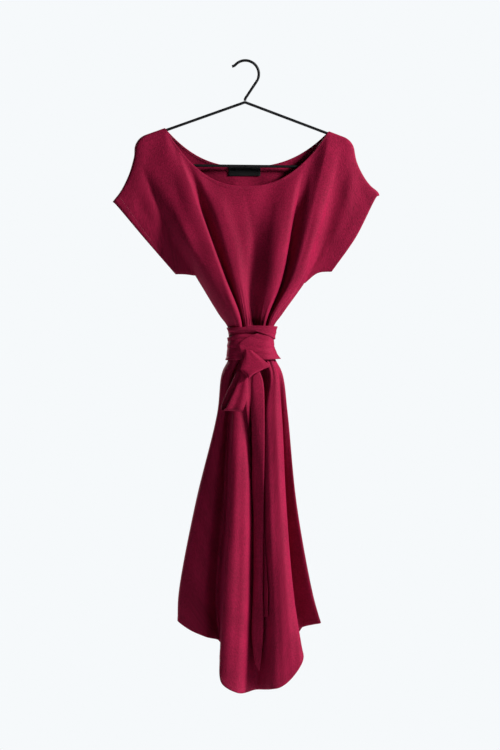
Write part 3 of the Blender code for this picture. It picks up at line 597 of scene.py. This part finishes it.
# Creases, given one by one: path (x, z), half width, height (a trough is negative), all mm
frontCreases = (
    (((-196, -196), (-158, -280), (-110, -384)), 6, -2.4),
    (((-180, -196), (-138, -282), (-94, -372), (-58, -440)), 15, 4.5),
    (((-236, -262), (-196, -300), (-150, -348)), 15, 1),
    (((-214, -232), (-186, -292), (-148, -366)), 9, -0.9),
    (((-146, -190), (-122, -262), (-92, -330)), 9, -0.7),
    (((-106, -206), (-76, -300), (-44, -398), (-18, -470)), 4.5, 1.7),
    (((-92, -230), (-58, -330), (-26, -430), (-8, -486)), 4.5, -1.6),
    (((-50, -252), (-26, -330), (-6, -420), (0, -488)), 7, 0.9),
    (((-40, -238), (-14, -318), (4, -410), (8, -490)), 7, -0.6),
    (((0, -242), (14, -330), (14, -420), (14, -492)), 7, -1),
    (((52, -262), (38, -350), (28, -430), (25, -492)), 8, -1.4),
    (((78, -224), (64, -330), (48, -430), (36, -490)), 7, 0.8),
    (((100, -222), (86, -320), (62, -430), (41, -494)), 3.5, -2.6),
    (((126, -196), (112, -282), (88, -380), (54, -478)), 5, 1.4),
    (((148, -188), (128, -290), (100, -392), (60, -484)), 5, -1),
    (((170, -206), (146, -300), (114, -402), (62, -486)), 6, 1.2),
    (((196, -184), (170, -268), (138, -350), (116, -400)), 8, -1.3),
    (((206, -200), (188, -270), (164, -330)), 9, 1.8),
    (((238, -262), (206, -306), (172, -352)), 14, 1),
    (((222, -244), (196, -296), (160, -366)), 9, -0.9),
    # the skirt
    (((-58, -720), (-72, -800), (-90, -905)), 4, 0.8),
    (((-30, -590), (-62, -760), (-92, -960), (-104, -1075)), 7, -1.6),
    (((-24, -590), (-46, -720), (-66, -900), (-76, -1090)), 6, 1.5),
    (((-14, -568), (-30, -640), (-40, -760), (-56, -1000), (-54, -1100)), 4, -2.5),
    (((-8, -570), (-14, -700), (-22, -900), (-36, -1175)), 6, 1.2),
    (((2, -572), (-4, -700), (-10, -900), (-22, -1190)), 5, -1),
    (((14, -570), (10, -760), (8, -960), (4, -1190)), 6, -1.5),
    (((26, -566), (24, -700), (30, -900), (32, -1190)), 6, 1.5),
    (((40, -560), (37, -640), (44, -820), (48, -1000), (50, -1190)), 6, 0.8),
    (((50, -562), (48, -640), (53, -800), (60, -1000), (66, -1180)), 5, -0.7),
    (((56, -560), (60, -680), (68, -860), (84, -1080), (88, -1165)), 5, 1.6),
    (((62, -562), (72, -700), (84, -880), (104, -1130)), 5, 1.5),
    (((64, -568), (70, -720), (84, -940), (100, -1080)), 4, -1.6),
    (((70, -566), (84, -700), (104, -900), (126, -1060)), 8, 1.2),
)
backCreases = (
    (((-200, -196), (-160, -280), (-112, -380)), 7, -2),
    (((-230, -258), (-192, -304), (-146, -352)), 12, 1.6),
    (((-128, -186), (-98, -290), (-60, -400), (-22, -486)), 6, 1.6),
    (((-100, -196), (-74, -300), (-44, -410), (-14, -488)), 4, -1.9),
    (((-64, -208), (-46, -310), (-26, -410), (-4, -490)), 6, 1.2),
    (((-20, -212), (-14, -320), (-4, -420), (6, -492)), 5, -1.6),
    (((28, -214), (22, -330), (18, -420), (14, -492)), 7, 1.4),
    (((72, -208), (58, -320), (42, -420), (26, -490)), 4.5, -1.8),
    (((116, -190), (92, -300), (68, -400), (36, -488)), 5, 1.5),
    (((150, -188), (124, -300), (92, -400), (48, -484)), 4, -1.4),
    (((200, -190), (172, -270), (128, -372)), 7, -2),
    (((236, -258), (204, -304), (168, -356)), 12, 1.6),
    (((-28, -572), (-58, -740), (-88, -940), (-100, -1070)), 6, 1.4),
    (((-20, -570), (-40, -720), (-62, -920), (-70, -1090)), 4, -1.8),
    (((-8, -570), (-18, -720), (-30, -920), (-36, -1110)), 6, 1.4),
    (((4, -570), (2, -740), (-6, -960), (-8, -1150)), 4, -1.8),
    (((14, -572), (18, -740), (22, -940), (26, -1165)), 6, 1.2),
    (((26, -570), (34, -740), (42, -940), (48, -1160)), 4.5, -1.6),
    (((38, -570), (50, -720), (68, -920), (80, -1120)), 6, 1.5),
    (((50, -570), (66, -720), (88, -920), (106, -1080)), 4, -1.4),
    (((62, -572), (82, -740), (106, -940), (120, -1060)), 6, 1.2),
)

# The gathers stand out most in the middle, every few columns, and the sash presses them down
gathers = {
    "height": 0.7, "every": 6.3, "middle": -512.0, "reach": 62.0,
    "sashMiddle": -528.0, "sashHalf": 20.0, "fade": 24.0, "underSash": 0.25,
    "ripple": 0.45,  # a slight unevenness all over
}


# 0 at the seams, so that front and back stay joined, and 1 inside
def fadedEdges(grid, skip, neckColumns):
    rows, width = grid.shape[:2]
    r, c = np.mgrid[:rows, :width].astype(float)
    sleeve = (c <= skip) | (c >= width - 1 - skip)
    inside = np.minimum(c - skip, width - 1 - skip - c) / 5
    free = np.where(sleeve, (underarmRow - r) / 6, np.where(r > underarmRow - 4, inside, 1))
    free = np.where(neckColumns[None, :], free, np.minimum(free, (r - 3) / 8))
    return np.clip(free, 0, 1)


# Each crease is a soft swell about its path, fading at both ends and a little uneven
def creased(grid, creases, free, sign):
    made = grid.copy()
    flat = grid[:, :, [0, 2]]
    for path, halfWidth, height in creases:
        line = curveThrough([(x, 0, z) for x, z in path], 6)[:, [0, 2]]
        lengths = distancesAlong(line)
        nearest, share = np.full(grid.shape[:2], np.inf), np.zeros(grid.shape[:2])
        for i in range(len(line) - 1):
            way = line[i + 1] - line[i]
            t = np.clip(((flat - line[i]) @ way) / (way @ way), 0, 1)
            away = np.linalg.norm(flat - line[i] - t[:, :, None] * way, axis=2)
            closer = away < nearest
            share = np.where(closer, (lengths[i] + t * (lengths[i + 1] - lengths[i])) / lengths[-1], share)
            nearest = np.where(closer, away, nearest)
        uneven = 0.8 + 0.35 * np.sin(share * 9 + path[0][0])
        made[:, :, 1] += (sign * free * height * uneven * np.exp(-(nearest / halfWidth) ** 2)
                          * np.sin(pi * share) ** 0.5)
    return made


# Fine gathers above and below the sash follow the columns
def gathered(grid, free, sign):
    made = grid.copy()
    columns = np.arange(grid.shape[1])[None, :]
    x, z = grid[:, :, 0], grid[:, :, 2]
    hidden = np.clip((np.abs(z - gathers["sashMiddle"]) - gathers["sashHalf"]) / gathers["fade"],
                     gathers["underSash"], 1)
    near = np.exp(-((z - gathers["middle"]) / gathers["reach"]) ** 2) * hidden
    beat = 2 * pi * columns / gathers["every"]
    fine = np.sin(beat + 0.8 * np.sin(columns * 0.37) + z * 0.01) + 0.5 * np.sin(beat * 1.7 + 1.1 - z * 0.02)
    ripple = np.sin(x / 15 + z / 47) + np.sin(x / 9.3 - z / 61 + 2) + 0.7 * np.sin(x / 24 + z / 19 + 4)
    made[:, :, 1] += sign * free * (gathers["height"] * near * fine + gathers["ripple"] * ripple)
    return made


# How thick the cloth is at each point: double along the turned hems
def hemmed(grid, skip, neckColumns):
    rows, width = grid.shape[:2]
    thick = np.full((rows, width), dress["thickness"])
    thick[-3:] += dress["hemLayers"]
    down = -flatPlaces(grid)[:, :, 1]
    thick[neckColumns[None, :] & (down < dress["neckHem"])] += dress["hemLayers"]
    for side in (slice(0, 2), slice(width - 2, width)):
        thick[:underarmRow + 1, side] += dress["hemLayers"]
    return thick


# A stitch is a short bead of thread, half sunk in the cloth
stitch = {"every": 3.0, "length": 2.2, "proud": 0.28, "wide": 0.26, "sunk": 0.2}


def stitchesAlong(lines, name, finish):
    points, faces = [], []
    for line, outward in lines:
        lengths = distancesAlong(line)
        for at in np.arange(stitch["every"], lengths[-1] - stitch["every"], stitch["every"]):
            middle, ahead, way = (np.array([np.interp(p, lengths, source[:, k]) for k in range(3)])
                                  for p, source in ((at, line), (at + 1, line), (at, outward)))
            along = (ahead - middle) / np.linalg.norm(ahead - middle)
            way /= np.linalg.norm(way)
            side = np.cross(along, way)
            first = len(points)
            points += [middle - along * stitch["length"] / 2, middle + along * stitch["length"] / 2,
                       middle + way * stitch["proud"], middle + side * stitch["wide"],
                       middle - way * stitch["sunk"], middle - side * stitch["wide"]]
            for a, b in ((2, 3), (3, 4), (4, 5), (5, 2)):
                faces += [[first, first + b, first + a], [first + 1, first + a, first + b]]
    return placed(meshFrom(name, points, faces, finish))


# One panel: bodice and skirt in one, with its turned hems and their stitching
def makePanel(name, lines, others, neck, creases, sign):
    grid, faces, skip = panelGrid(lines, others, neck, sign)
    neckColumns = onNeckEdge(grid[0, :, 0])
    free = fadedEdges(grid, skip, neckColumns)
    grid = gathered(creased(softened(grid, 3), creases, free, sign), free, sign)
    thick = hemmed(grid, skip, neckColumns)
    piece = clothWall(name, grid, thick, silk, faces)
    normals = normalsOf(grid, cellsOf(grid, False), faces)
    outer = grid + normals * (thick / 2)[:, :, None]
    width = grid.shape[1]
    inner = slice(skip, width - skip)
    sewn = [(outer[-3, inner] * 0.92 + outer[-4, inner] * 0.08, normals[-3, inner]),
            (outer[3, neckColumns], normals[3, neckColumns])]
    for c in (2, width - 3):
        sewn.append((outer[1:underarmRow, c], normals[1:underarmRow, c]))
    return piece, stitchesAlong(sewn, f"{name}_stitches", thread), grid


# The sash, wound twice round the waist. A turn's lip stands out at its top and goes back to nothing below.
sash = {
    "thickness": 0.9, "around": 180, "centre": 10.0,
    "roundness": 3.0,  # 2 would be an ellipse
    "lip": {"out": 5.2, "top": -496.5, "height": 32.0},
    "pleats": 0.7,  # share of the heights below
}


def roundWaist(angle, halfWidth, halfDepth):
    power = 2 / sash["roundness"]
    x = np.sign(cos(angle)) * abs(cos(angle)) ** power * halfWidth
    y = np.sign(sin(angle)) * abs(sin(angle)) ** power * halfDepth
    return sash["centre"] + x, y


def sashLip(z):
    lip = sash["lip"]
    return lip["out"] * min(max(1 - (lip["top"] - z) / lip["height"], 0), 1) ** 3


# Soft lengthwise creases: share down, half width, height, how each wanders, and where it is strongest (degrees)
def pleated(down, angle, pleats):
    out = 0.0
    for at, halfWidth, height, wander, strongest in pleats:
        middle = at + wander * sin(angle * 2 + strongest) + wander * 0.5 * sin(angle * 3 + at * 20)
        strength = 0.55 + 0.45 * cos(angle - radians(strongest))
        out += height * strength * np.exp(-((down - middle) / halfWidth) ** 2)
    return sash["pleats"] * out


upperTurn = {
    "halfWidth": 40.8, "halfDepth": 27.6, "top": -499.0, "bottom": -531.0, "rows": 22, "tilt": 1.2, "wave": 1.0,
    "pleats": ((0.10, 0.05, 1.3, 0.04, 200), (0.26, 0.06, -1.1, 0.05, 240), (0.42, 0.05, 1.2, 0.06, 130),
               (0.60, 0.06, -0.9, 0.03, 60), (0.74, 0.05, 1.0, 0.05, 20), (0.9, 0.05, -0.7, 0.02, 300)),
}


def upperSpot(angle, down):
    top = upperTurn["top"] + upperTurn["tilt"] * cos(angle + 0.4) - upperTurn["wave"] * sin(2 * angle)
    z = top + (upperTurn["bottom"] - top) * down
    out = sashLip(z) + pleated(down, angle, upperTurn["pleats"])
    x, y = roundWaist(angle, upperTurn["halfWidth"] + out, upperTurn["halfDepth"] + out)
    return x, y, z


lowerTurn = {
    "halfWidth": 43.4, "halfDepth": 30.0, "top": -514.0, "bottom": -560.0, "rows": 26,
    "flareRight": 13.0, "flareLeft": 4.0, "flareBack": 2.0,
    "topLeft": -4.5, "topRight": -2.5, "topFront": 2.5, "bottomRight": 2.0, "bottomBack": -1.5,
    "pleats": ((0.07, 0.04, 0.9, 0.03, 200), (0.2, 0.05, -1.3, 0.05, 230), (0.35, 0.06, 1.3, 0.05, 120),
               (0.5, 0.05, -1.2, 0.06, 350), (0.66, 0.06, 1.2, 0.04, 60), (0.82, 0.05, -1.0, 0.04, 190)),
}


def lowerSpot(angle, down, out=0.0):
    turn = lowerTurn
    right, left, back = max(cos(angle), 0), max(-cos(angle), 0), max(sin(angle), 0)
    flare = (turn["flareRight"] * right**3 + turn["flareLeft"] * left + turn["flareBack"] * back) * down**3
    out += pleated(down, angle, turn["pleats"])
    x, y = roundWaist(angle, turn["halfWidth"] + flare + out, turn["halfDepth"] + 0.15 * flare + out)
    top = (turn["top"] + turn["topLeft"] * left**2 + turn["topRight"] * right**2
           + turn["topFront"] * max(-sin(angle), 0) ** 3)
    bottom = turn["bottom"] + turn["bottomRight"] * right**3 + turn["bottomBack"] * left * back
    return x, y, top + (bottom - top) * down


def woundTurn(name, rows, spot):
    around = sash["around"]
    grid = np.array([[spot(2 * pi * c / around, r / rows) for c in range(around)] for r in range(rows + 1)])
    return clothWall(name, grid, sash["thickness"], silk, around=True)


# The end of the lower turn, lapping right over left in front. It leads off as its own edge and ends in the turn.
lap = {
    "edge": ((22, -511), (7, -517), (-11, -530), (-9, -541), (-2, -553)), "rows": 26, "columns": 64,
    "endAngle": radians(-14), "startShare": 0.62, "stands": 2.0, "fade": 1.7, "lead": 0.5, "proud": 0.8,
}


def wrapLap():
    rows, columns = lap["rows"], lap["columns"]
    edge = curveThrough([(x, 0, z) for x, z in lap["edge"]], 8)
    known = np.linspace(0, 1, len(edge))
    grid = np.empty((rows + 1, columns + 1, 3))
    for r in range(rows + 1):
        down = r / rows
        edgeX, edgeZ = (np.interp(down, known, edge[:, k]) for k in (0, 2))
        reach = (edgeX - sash["centre"]) / lowerTurn["halfWidth"] * lap["startShare"]
        startAngle = -pi / 2 + asin(max(-1, min(1, reach)))
        for c in range(columns + 1):
            share = c / columns
            angle = startAngle + (lap["endAngle"] - startAngle) * share
            x, y, z = lowerSpot(angle, down, lap["stands"] * min(1, (1 - share) * lap["fade"]))
            if share < lap["lead"]:
                ease = (1 - share / lap["lead"]) ** 2
                x, y, z = x + (edgeX - x) * ease, y - lap["proud"] * ease, z + (edgeZ - z) * ease
            grid[r, c] = x, y, z
    return clothWall("sash_turn_lap", grid, sash["thickness"], silk)


# The turn that crosses the upper one from its point in front, creased along its middle
crossTurn = {
    "halfWidth": 45.8, "halfDepth": 32.8, "start": radians(-95), "end": radians(85), "rows": 12, "columns": 90,
    "top": -496.5, "falls": 3.0, "tipWidth": 1.2, "widening": 31.0, "fullWidth": 23.0,
    "creases": ((0.9, 0.5, 0.12), (-0.3, 0.78, 0.1)),  # height, share down, half width
}


def wrapCross():
    rows, columns, turn = crossTurn["rows"], crossTurn["columns"], crossTurn
    grid = np.empty((rows + 1, columns + 1, 3))
    for r in range(rows + 1):
        down = r / rows
        crease = sum(height * np.exp(-((down - at) / half) ** 2) for height, at, half in turn["creases"])
        for c in range(columns + 1):
            share = c / columns
            angle = turn["start"] + (turn["end"] - turn["start"]) * share
            width = min(turn["tipWidth"] + turn["widening"] * share**0.45, turn["fullWidth"])
            z = turn["top"] - turn["falls"] * share - width * r / rows
            out = sashLip(z) + crease * min(share * 3, 1)
            grid[r, c] = *roundWaist(angle, turn["halfWidth"] + out, turn["halfDepth"] + out), z
    return clothWall("sash_turn_cross", grid, sash["thickness"], silk)


# The hanging ends: left and right edge (x, z, y) at each row, from the knot down
endFlap = {
    "down": 9, "across": 32, "bulge": 2.4, "fan": 0.5, "curl": 2.0,
    "edges": (
        (-1, -541, -33.5, 12, -543, -33.5), (-3, -558, -36.5, 30, -557.5, -36),
        (-8.5, -573.5, -40, 44, -569.5, -38), (-10, -578, -41.5, 46.5, -572.5, -38.5),
        (-6, -581.5, -43, 37, -576.5, -41), (3, -590, -46.5, 14, -588.5, -47),
        (5.5, -594, -47.5, 8, -593.5, -47.5),
    ),
}
halfBow = {
    "down": 8, "across": 22, "bulge": 1.0, "ripple": 1.1,
    "edges": (
        (-5, -574, -36.5, 4, -575, -37.5), (-16.5, -608, -39.5, 3.5, -612, -42),
        (-28, -634, -44, 0.5, -640, -46.5), (-36, -650, -45, -4, -653, -47.5),
        (-42, -655, -40.5, -6, -657, -42.5), (-45, -650, -35.5, -8, -651, -37),
        (-33, -618, -33, -10, -620, -32.5), (-14, -580, -31.5, -6, -581, -31.5),
    ),
}
longTail = {
    "down": 16, "layers": 2.4, "wave": 1.5,  # its two layers are 2.4 mm apart
    "edges": (
        (12.5, -592, -37.5, 26.5, -582, -36.5), (11.5, -608, -38, 33, -602, -38),
        (12, -672, -34.5, 35.5, -672, -40.5), (15.5, -822, -32, 34, -822, -40.5),
        (15.5, -974, -36, 32.4, -974, -43), (12.5, -1074, -38, 33, -1074, -43.5),
        (17.5, -1128, -40, 26.5, -1143, -42),
    ),
}
shortTail = {
    "down": 14, "across": 12, "ripple": 0.8,
    "edges": (
        (12, -600, -33.5, 27, -598, -33.5), (14, -672, -30, 29, -672, -31),
        (14, -822, -26.5, 28.5, -822, -28), (26.5, -905, -28, 36.5, -903, -38.5),
        (34.5, -980, -39.5, 41, -980, -50.5), (35, -1042, -41.5, 41.5, -1040, -52.5),
    ),
}


def edgeLines(end):
    return [curveThrough([(row[k], row[k + 2], row[k + 1]) for row in end["edges"]], end["down"]) for k in (0, 3)]


# An end that hangs as a single layer, standing out by its shape
def stripWall(name, end, shape):
    edges, across = edgeLines(end), end["across"]
    grid = np.empty((len(edges[0]), across + 1, 3))
    for r, (left, right) in enumerate(zip(*edges)):
        for c in range(across + 1):
            share = c / across
            grid[r, c] = left * (1 - share) + right * share
            grid[r, c, 1] -= shape(r / (len(edges[0]) - 1), share)
    return clothWall(name, grid, sash["thickness"], silk)


def flapShape(down, share):
    fan = sin(share * 9 + 0.6) * endFlap["fan"] * (1 - down)
    curl = endFlap["curl"] * abs(2 * share - 1) ** 6 * down
    return 4 * endFlap["bulge"] * share * (1 - share) + fan * min(1, 6 * share, 6 * (1 - share)) - curl


def bowShape(down, share):
    bulge = 4 * halfBow["bulge"] * share * (1 - share)
    return bulge + halfBow["ripple"] * sin(share * 9 + 1) * sin(pi * down)


def tailShape(down, share):
    return shortTail["ripple"] * sin(share * 6 + down * 3)


# A tail folded lengthwise: its front layer, the fold at its left edge, and its back layer
def foldedWall(name, end):
    edges = edgeLines(end)
    across = [(1.0 - k / 9, 0.0) for k in range(9)] + [(0.0, 0.25), (-0.012, 0.5), (0.0, 0.75)]
    across += [(0.94 * k / 9, 1.0) for k in range(10)]
    grid = np.empty((len(edges[0]), len(across), 3))
    for r, (left, right) in enumerate(zip(*edges)):
        z = left[2]
        for c, (share, layer) in enumerate(across):
            grid[r, c] = left * (1 - share) + right * share
            bow = 4 * share * (1 - share) * (0.8 + 0.5 * sin(z / 55)) + 0.5 * sin(z / 37 + share * 4)
            grid[r, c, 1] += layer * end["layers"] - end["wave"] * bow * (1 - layer)
    return clothWall(name, grid, sash["thickness"], silk)


# The label inside the back neck, left blank
label = {"left": -32.0, "right": 28.0, "top": -197.0, "bottom": -214.0, "thickness": 0.6, "rows": 8, "columns": 20,
         "clear": 0.5, "near": 9.0}  # how far it stays off the back, and how far it looks for it


def makeLabel(backGrid):
    columns, rows = label["columns"], label["rows"]
    points = backGrid[~np.isnan(backGrid[:, :, 0])]
    grid = np.empty((rows + 1, columns + 1, 3))
    for r in range(rows + 1):
        z = label["top"] + (label["bottom"] - label["top"]) * r / rows
        for c in range(columns + 1):
            x = label["left"] + (label["right"] - label["left"]) * c / columns
            near = np.hypot(points[:, 0] - x, points[:, 2] - z) < label["near"]
            behind = points[near][:, 1].min() - dress["thickness"] / 2
            grid[r, c] = x, behind - label["clear"] - label["thickness"] / 2, z
    return clothWall("neck_label_tape", softened(grid, 2), label["thickness"], tape)


# The hanger's wire is a ring of points, drawn out and bent from its first end to its last
def wireRing(x, z, heading, name):
    bpy.ops.mesh.primitive_circle_add(vertices=hanger["sides"], radius=hanger["wire"] / 2 * mm,
                                      location=(x * mm, 0, z * mm), rotation=(0, pi / 2 - heading, 0))
    made = bpy.context.object
    made.name = made.data.name = name
    bpy.ops.object.transform_apply(location=True, rotation=True, scale=True)
    bpy.ops.object.mode_set(mode="EDIT")
    bpy.ops.mesh.select_all(action="SELECT")
    return made


def drawOut(length, heading, steps=1):
    for _ in range(steps):
        bpy.ops.mesh.extrude_region_move(TRANSFORM_OT_translate={"value": (
            length / steps * cos(heading) * mm, 0, length / steps * sin(heading) * mm)})


# A left turn as seen from the front
def bendRound(x, z, turn, steps):
    bpy.ops.mesh.spin(steps=steps, angle=turn, center=(x * mm, 0, z * mm), axis=(0, 1, 0))


def closeWire(made, finish, openEnds):
    bpy.ops.mesh.select_all(action="SELECT")
    bpy.ops.mesh.remove_doubles(threshold=0.00002)
    if openEnds:
        bpy.ops.mesh.select_all(action="DESELECT")
        bpy.ops.mesh.select_non_manifold()
        bpy.ops.mesh.fill_holes(sides=0)
    bpy.ops.mesh.select_all(action="SELECT")
    bpy.ops.mesh.normals_make_consistent(inside=False)
    bpy.ops.object.mode_set(mode="OBJECT")
    bpy.ops.object.shade_smooth_by_angle(angle=radians(50))
    made.data.materials.append(finish)
    made.select_set(False)
    return made


def makeFrame():
    lean, slope = hanger["tilt"], shoulderSlope()
    across, radius = hanger["halfSpan"] - hanger["endRadius"], hanger["endRadius"]
    made = wireRing(*tilted(0, -hanger["bar"]), lean, "hanger_wire_frame")
    drawOut(across, lean, 6)
    bendRound(*tilted(across, radius - hanger["bar"]), pi - slope, 24)
    shoulder = sqrt(across**2 + (hanger["bar"] - radius - hanger["apex"])**2)
    rest = sqrt(shoulder**2 - radius**2) - hanger["apexRadius"] * slope / 2
    drawOut(rest, pi - slope + lean, 8)
    bendRound(*tilted(0, -hanger["apex"] - hanger["apexRadius"]), 2 * slope, 8)
    drawOut(rest, pi + slope + lean, 8)
    bendRound(*tilted(-across, radius - hanger["bar"]), pi - slope, 24)
    drawOut(across, lean, 6)
    return closeWire(made, paint, openEnds=False)


# The hook starts at its foot, leans out at its neck, goes over the top and turns up at its tip
def makeHook():
    lean, radius, neck = hanger["tilt"], hanger["hookRadius"], hanger["neckRadius"]
    centre = hanger["wire"] / 2 - radius
    heading = pi / 2 - hanger["neckBend"]
    touch = (radius * sin(heading), centre - radius * cos(heading))
    reach = touch[0] - neck * (1 - cos(hanger["neckBend"]))
    low = touch[1] - reach * sin(heading) / cos(heading)
    neckZ = low - neck * sin(hanger["neckBend"])
    made = wireRing(*tilted(0, hanger["hookFoot"]), pi / 2 + lean, "hanger_wire_hook")
    drawOut(neckZ - hanger["hookFoot"], pi / 2 + lean)
    bendRound(*tilted(neck, neckZ), -hanger["neckBend"], 6)
    drawOut(reach / cos(heading), heading + lean, 3)
    last = hanger["hookTurn"]
    bendRound(*tilted(0, centre), last + pi / 2 - heading, 26)
    out = radius + hanger["tipRadius"]
    bendRound(*tilted(out * cos(last), centre + out * sin(last)), -hanger["tipBend"], 8)
    drawOut(hanger["tipLength"], last + pi / 2 - hanger["tipBend"] + lean)
    return closeWire(made, paint, openEnds=True)


silk, paint, tape, thread = silkCrepe(), blackPaint(), blackTape(), spunThread()

for piece, node in ((makeFrame(), "hanger_frame"), (makeHook(), "hanger_hook")):
    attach(piece, "root")
    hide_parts(node)
print("hanger bent")

front, back = frontLines(), backLines()
dressFront, frontStitches, _ = makePanel("dress_front", front, back, dress["frontNeck"], frontCreases, -1)
dressBack, backStitches, backGrid = makePanel("dress_back", back, front, dress["backNeck"], backCreases, 1)
print("dress cut and hemmed")

clothPieces = [
    dressFront, dressBack,
    woundTurn("sash_turn_upper", upperTurn["rows"], upperSpot),
    woundTurn("sash_turn_lower", lowerTurn["rows"], lowerSpot),
    wrapLap(), wrapCross(),
    stripWall("sash_end_flap", endFlap, flapShape), stripWall("sash_half_bow", halfBow, bowShape),
    foldedWall("sash_long_tail", longTail), stripWall("sash_short_tail", shortTail, tailShape),
    makeLabel(backGrid),
]
print("sash tied")

# Each piece of cloth: its flat width and length in mm, its area in square metres where that isn't their product,
# how it hangs, what it hangs on, and the CAD solids that it stands for
cloth = {
    "dress_front": (525, 1010, 0.34, "hung", ["hanger_wire_frame"], ["front_bodice", "front_skirt"]),
    "dress_back": (525, 1000, 0.28, "hung", ["hanger_wire_frame"], ["back_bodice", "back_skirt"]),
    "sash_turn_upper": (32, 260, None, "gathered", ["dress_front", "dress_back"], ["sash_wrap_upper"]),
    "sash_turn_lower": (46, 270, None, "gathered", ["sash_turn_upper"], ["sash_wrap_lower"]),
    "sash_turn_lap": (46, 72, None, "gathered", ["sash_turn_lower"], []),
    "sash_turn_cross": (23, 135, 0.0029, "gathered", ["sash_turn_upper"], ["sash_wrap_cross"]),
    "sash_end_flap": (54, 55, 0.0019, "folded", ["sash_turn_lower"], ["sash_flap"]),
    "sash_half_bow": (40, 170, 0.0041, "folded", ["sash_turn_lower"], ["sash_loop"]),
    "sash_long_tail": (48, 550, 0.0235, "folded", ["sash_end_flap"], ["sash_tail_long"]),
    "sash_short_tail": (16, 450, None, "hung", ["sash_end_flap"], ["sash_tail_short"]),
    "neck_label_tape": (60, 17, None, "hung", ["dress_back"], ["neck_label"]),
}
stitching = {"dress_front": [frontStitches], "dress_back": [backStitches]}
for piece in clothPieces:
    width, length, area, held, restsOn, nodes = cloth[piece.name]
    sewn = stitching.get(piece.name, [])
    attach(piece, "root")
    if nodes:
        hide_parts(*nodes)
    for stitches in sewn:
        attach(stitches, "root")

studio = {
    "key": {"at": (4.7, -1.9, 1.9), "size": 1.3, "power": 830.0, "aim": (0.0, 0.0, -0.6)},
    "fill": {"at": (-0.6, -5.2, 0.9), "size": 2.6, "power": 3.5, "aim": (0.0, 0.0, -0.7)},
    "rim": {"at": (-3.0, 4.4, 1.5), "size": 2.4, "power": 420.0, "aim": (0.0, 0.0, -0.5)},
    "wall": "#F6F9FB", "wallStrength": 1.0, "roomStrength": 0.015,
    "floor": "#EDF1F4", "floorBelow": -1.75, "floorRadius": 2.6,
    "cameraAt": (0.00865, -10.0, -0.5888), "sensor": 36.0, "lens": 255.3, "sees": 100.0,
}


def placeLight(name, values):
    lamp = bpy.data.lights.new(name, "AREA")
    lamp.energy, lamp.size, lamp.shape = values["power"], values["size"], "DISK"
    made = placed(lamp)
    made.location = values["at"]
    made.rotation_euler = (Vector(values["aim"]) - made.location).to_track_quat("-Z", "Y").to_euler()


for name in ("key", "fill", "rim"):
    placeLight(name, studio[name])

# The camera sees the bright wall, and the dress is lit by it only faintly
world = bpy.data.worlds.new("studio")
bpy.context.scene.world = world
world.use_nodes = True
tree = world.node_tree
tree.nodes.clear()
seen, room = (addNode(tree, "ShaderNodeBackground",
                      values={"Color": linearColour(studio["wall"]), "Strength": studio[strength]})
              for strength in ("wallStrength", "roomStrength"))
path = addNode(tree, "ShaderNodeLightPath")
both = addNode(tree, "ShaderNodeMixShader",
               links={0: path.outputs["Is Camera Ray"], 1: room.outputs[0], 2: seen.outputs[0]})
addNode(tree, "ShaderNodeOutputWorld", links={0: both.outputs[0]})

bpy.ops.mesh.primitive_circle_add(vertices=96, radius=studio["floorRadius"], fill_type="NGON",
                                  location=(0, 0, studio["floorBelow"]))
floor = bpy.context.object
floor.name = "studio_floor"
bpy.ops.object.transform_apply(location=True)
floor.select_set(False)
paperFloor, *_ = newMaterial("matt_paper_floor", {"Base Color": linearColour(studio["floor"]), "Roughness": 0.9})
floor.data.materials.append(paperFloor)

bpy.context.scene.view_settings.view_transform = "Standard"
camera = bpy.data.cameras.new("photo_camera")
camera.sensor_width, camera.lens, camera.clip_end = studio["sensor"], studio["lens"], studio["sees"]
viewer = placed(camera)
viewer.location = studio["cameraAt"]
viewer.rotation_euler = (pi / 2, 0, 0)
bpy.context.scene.camera = viewer
print("camera and lights set")
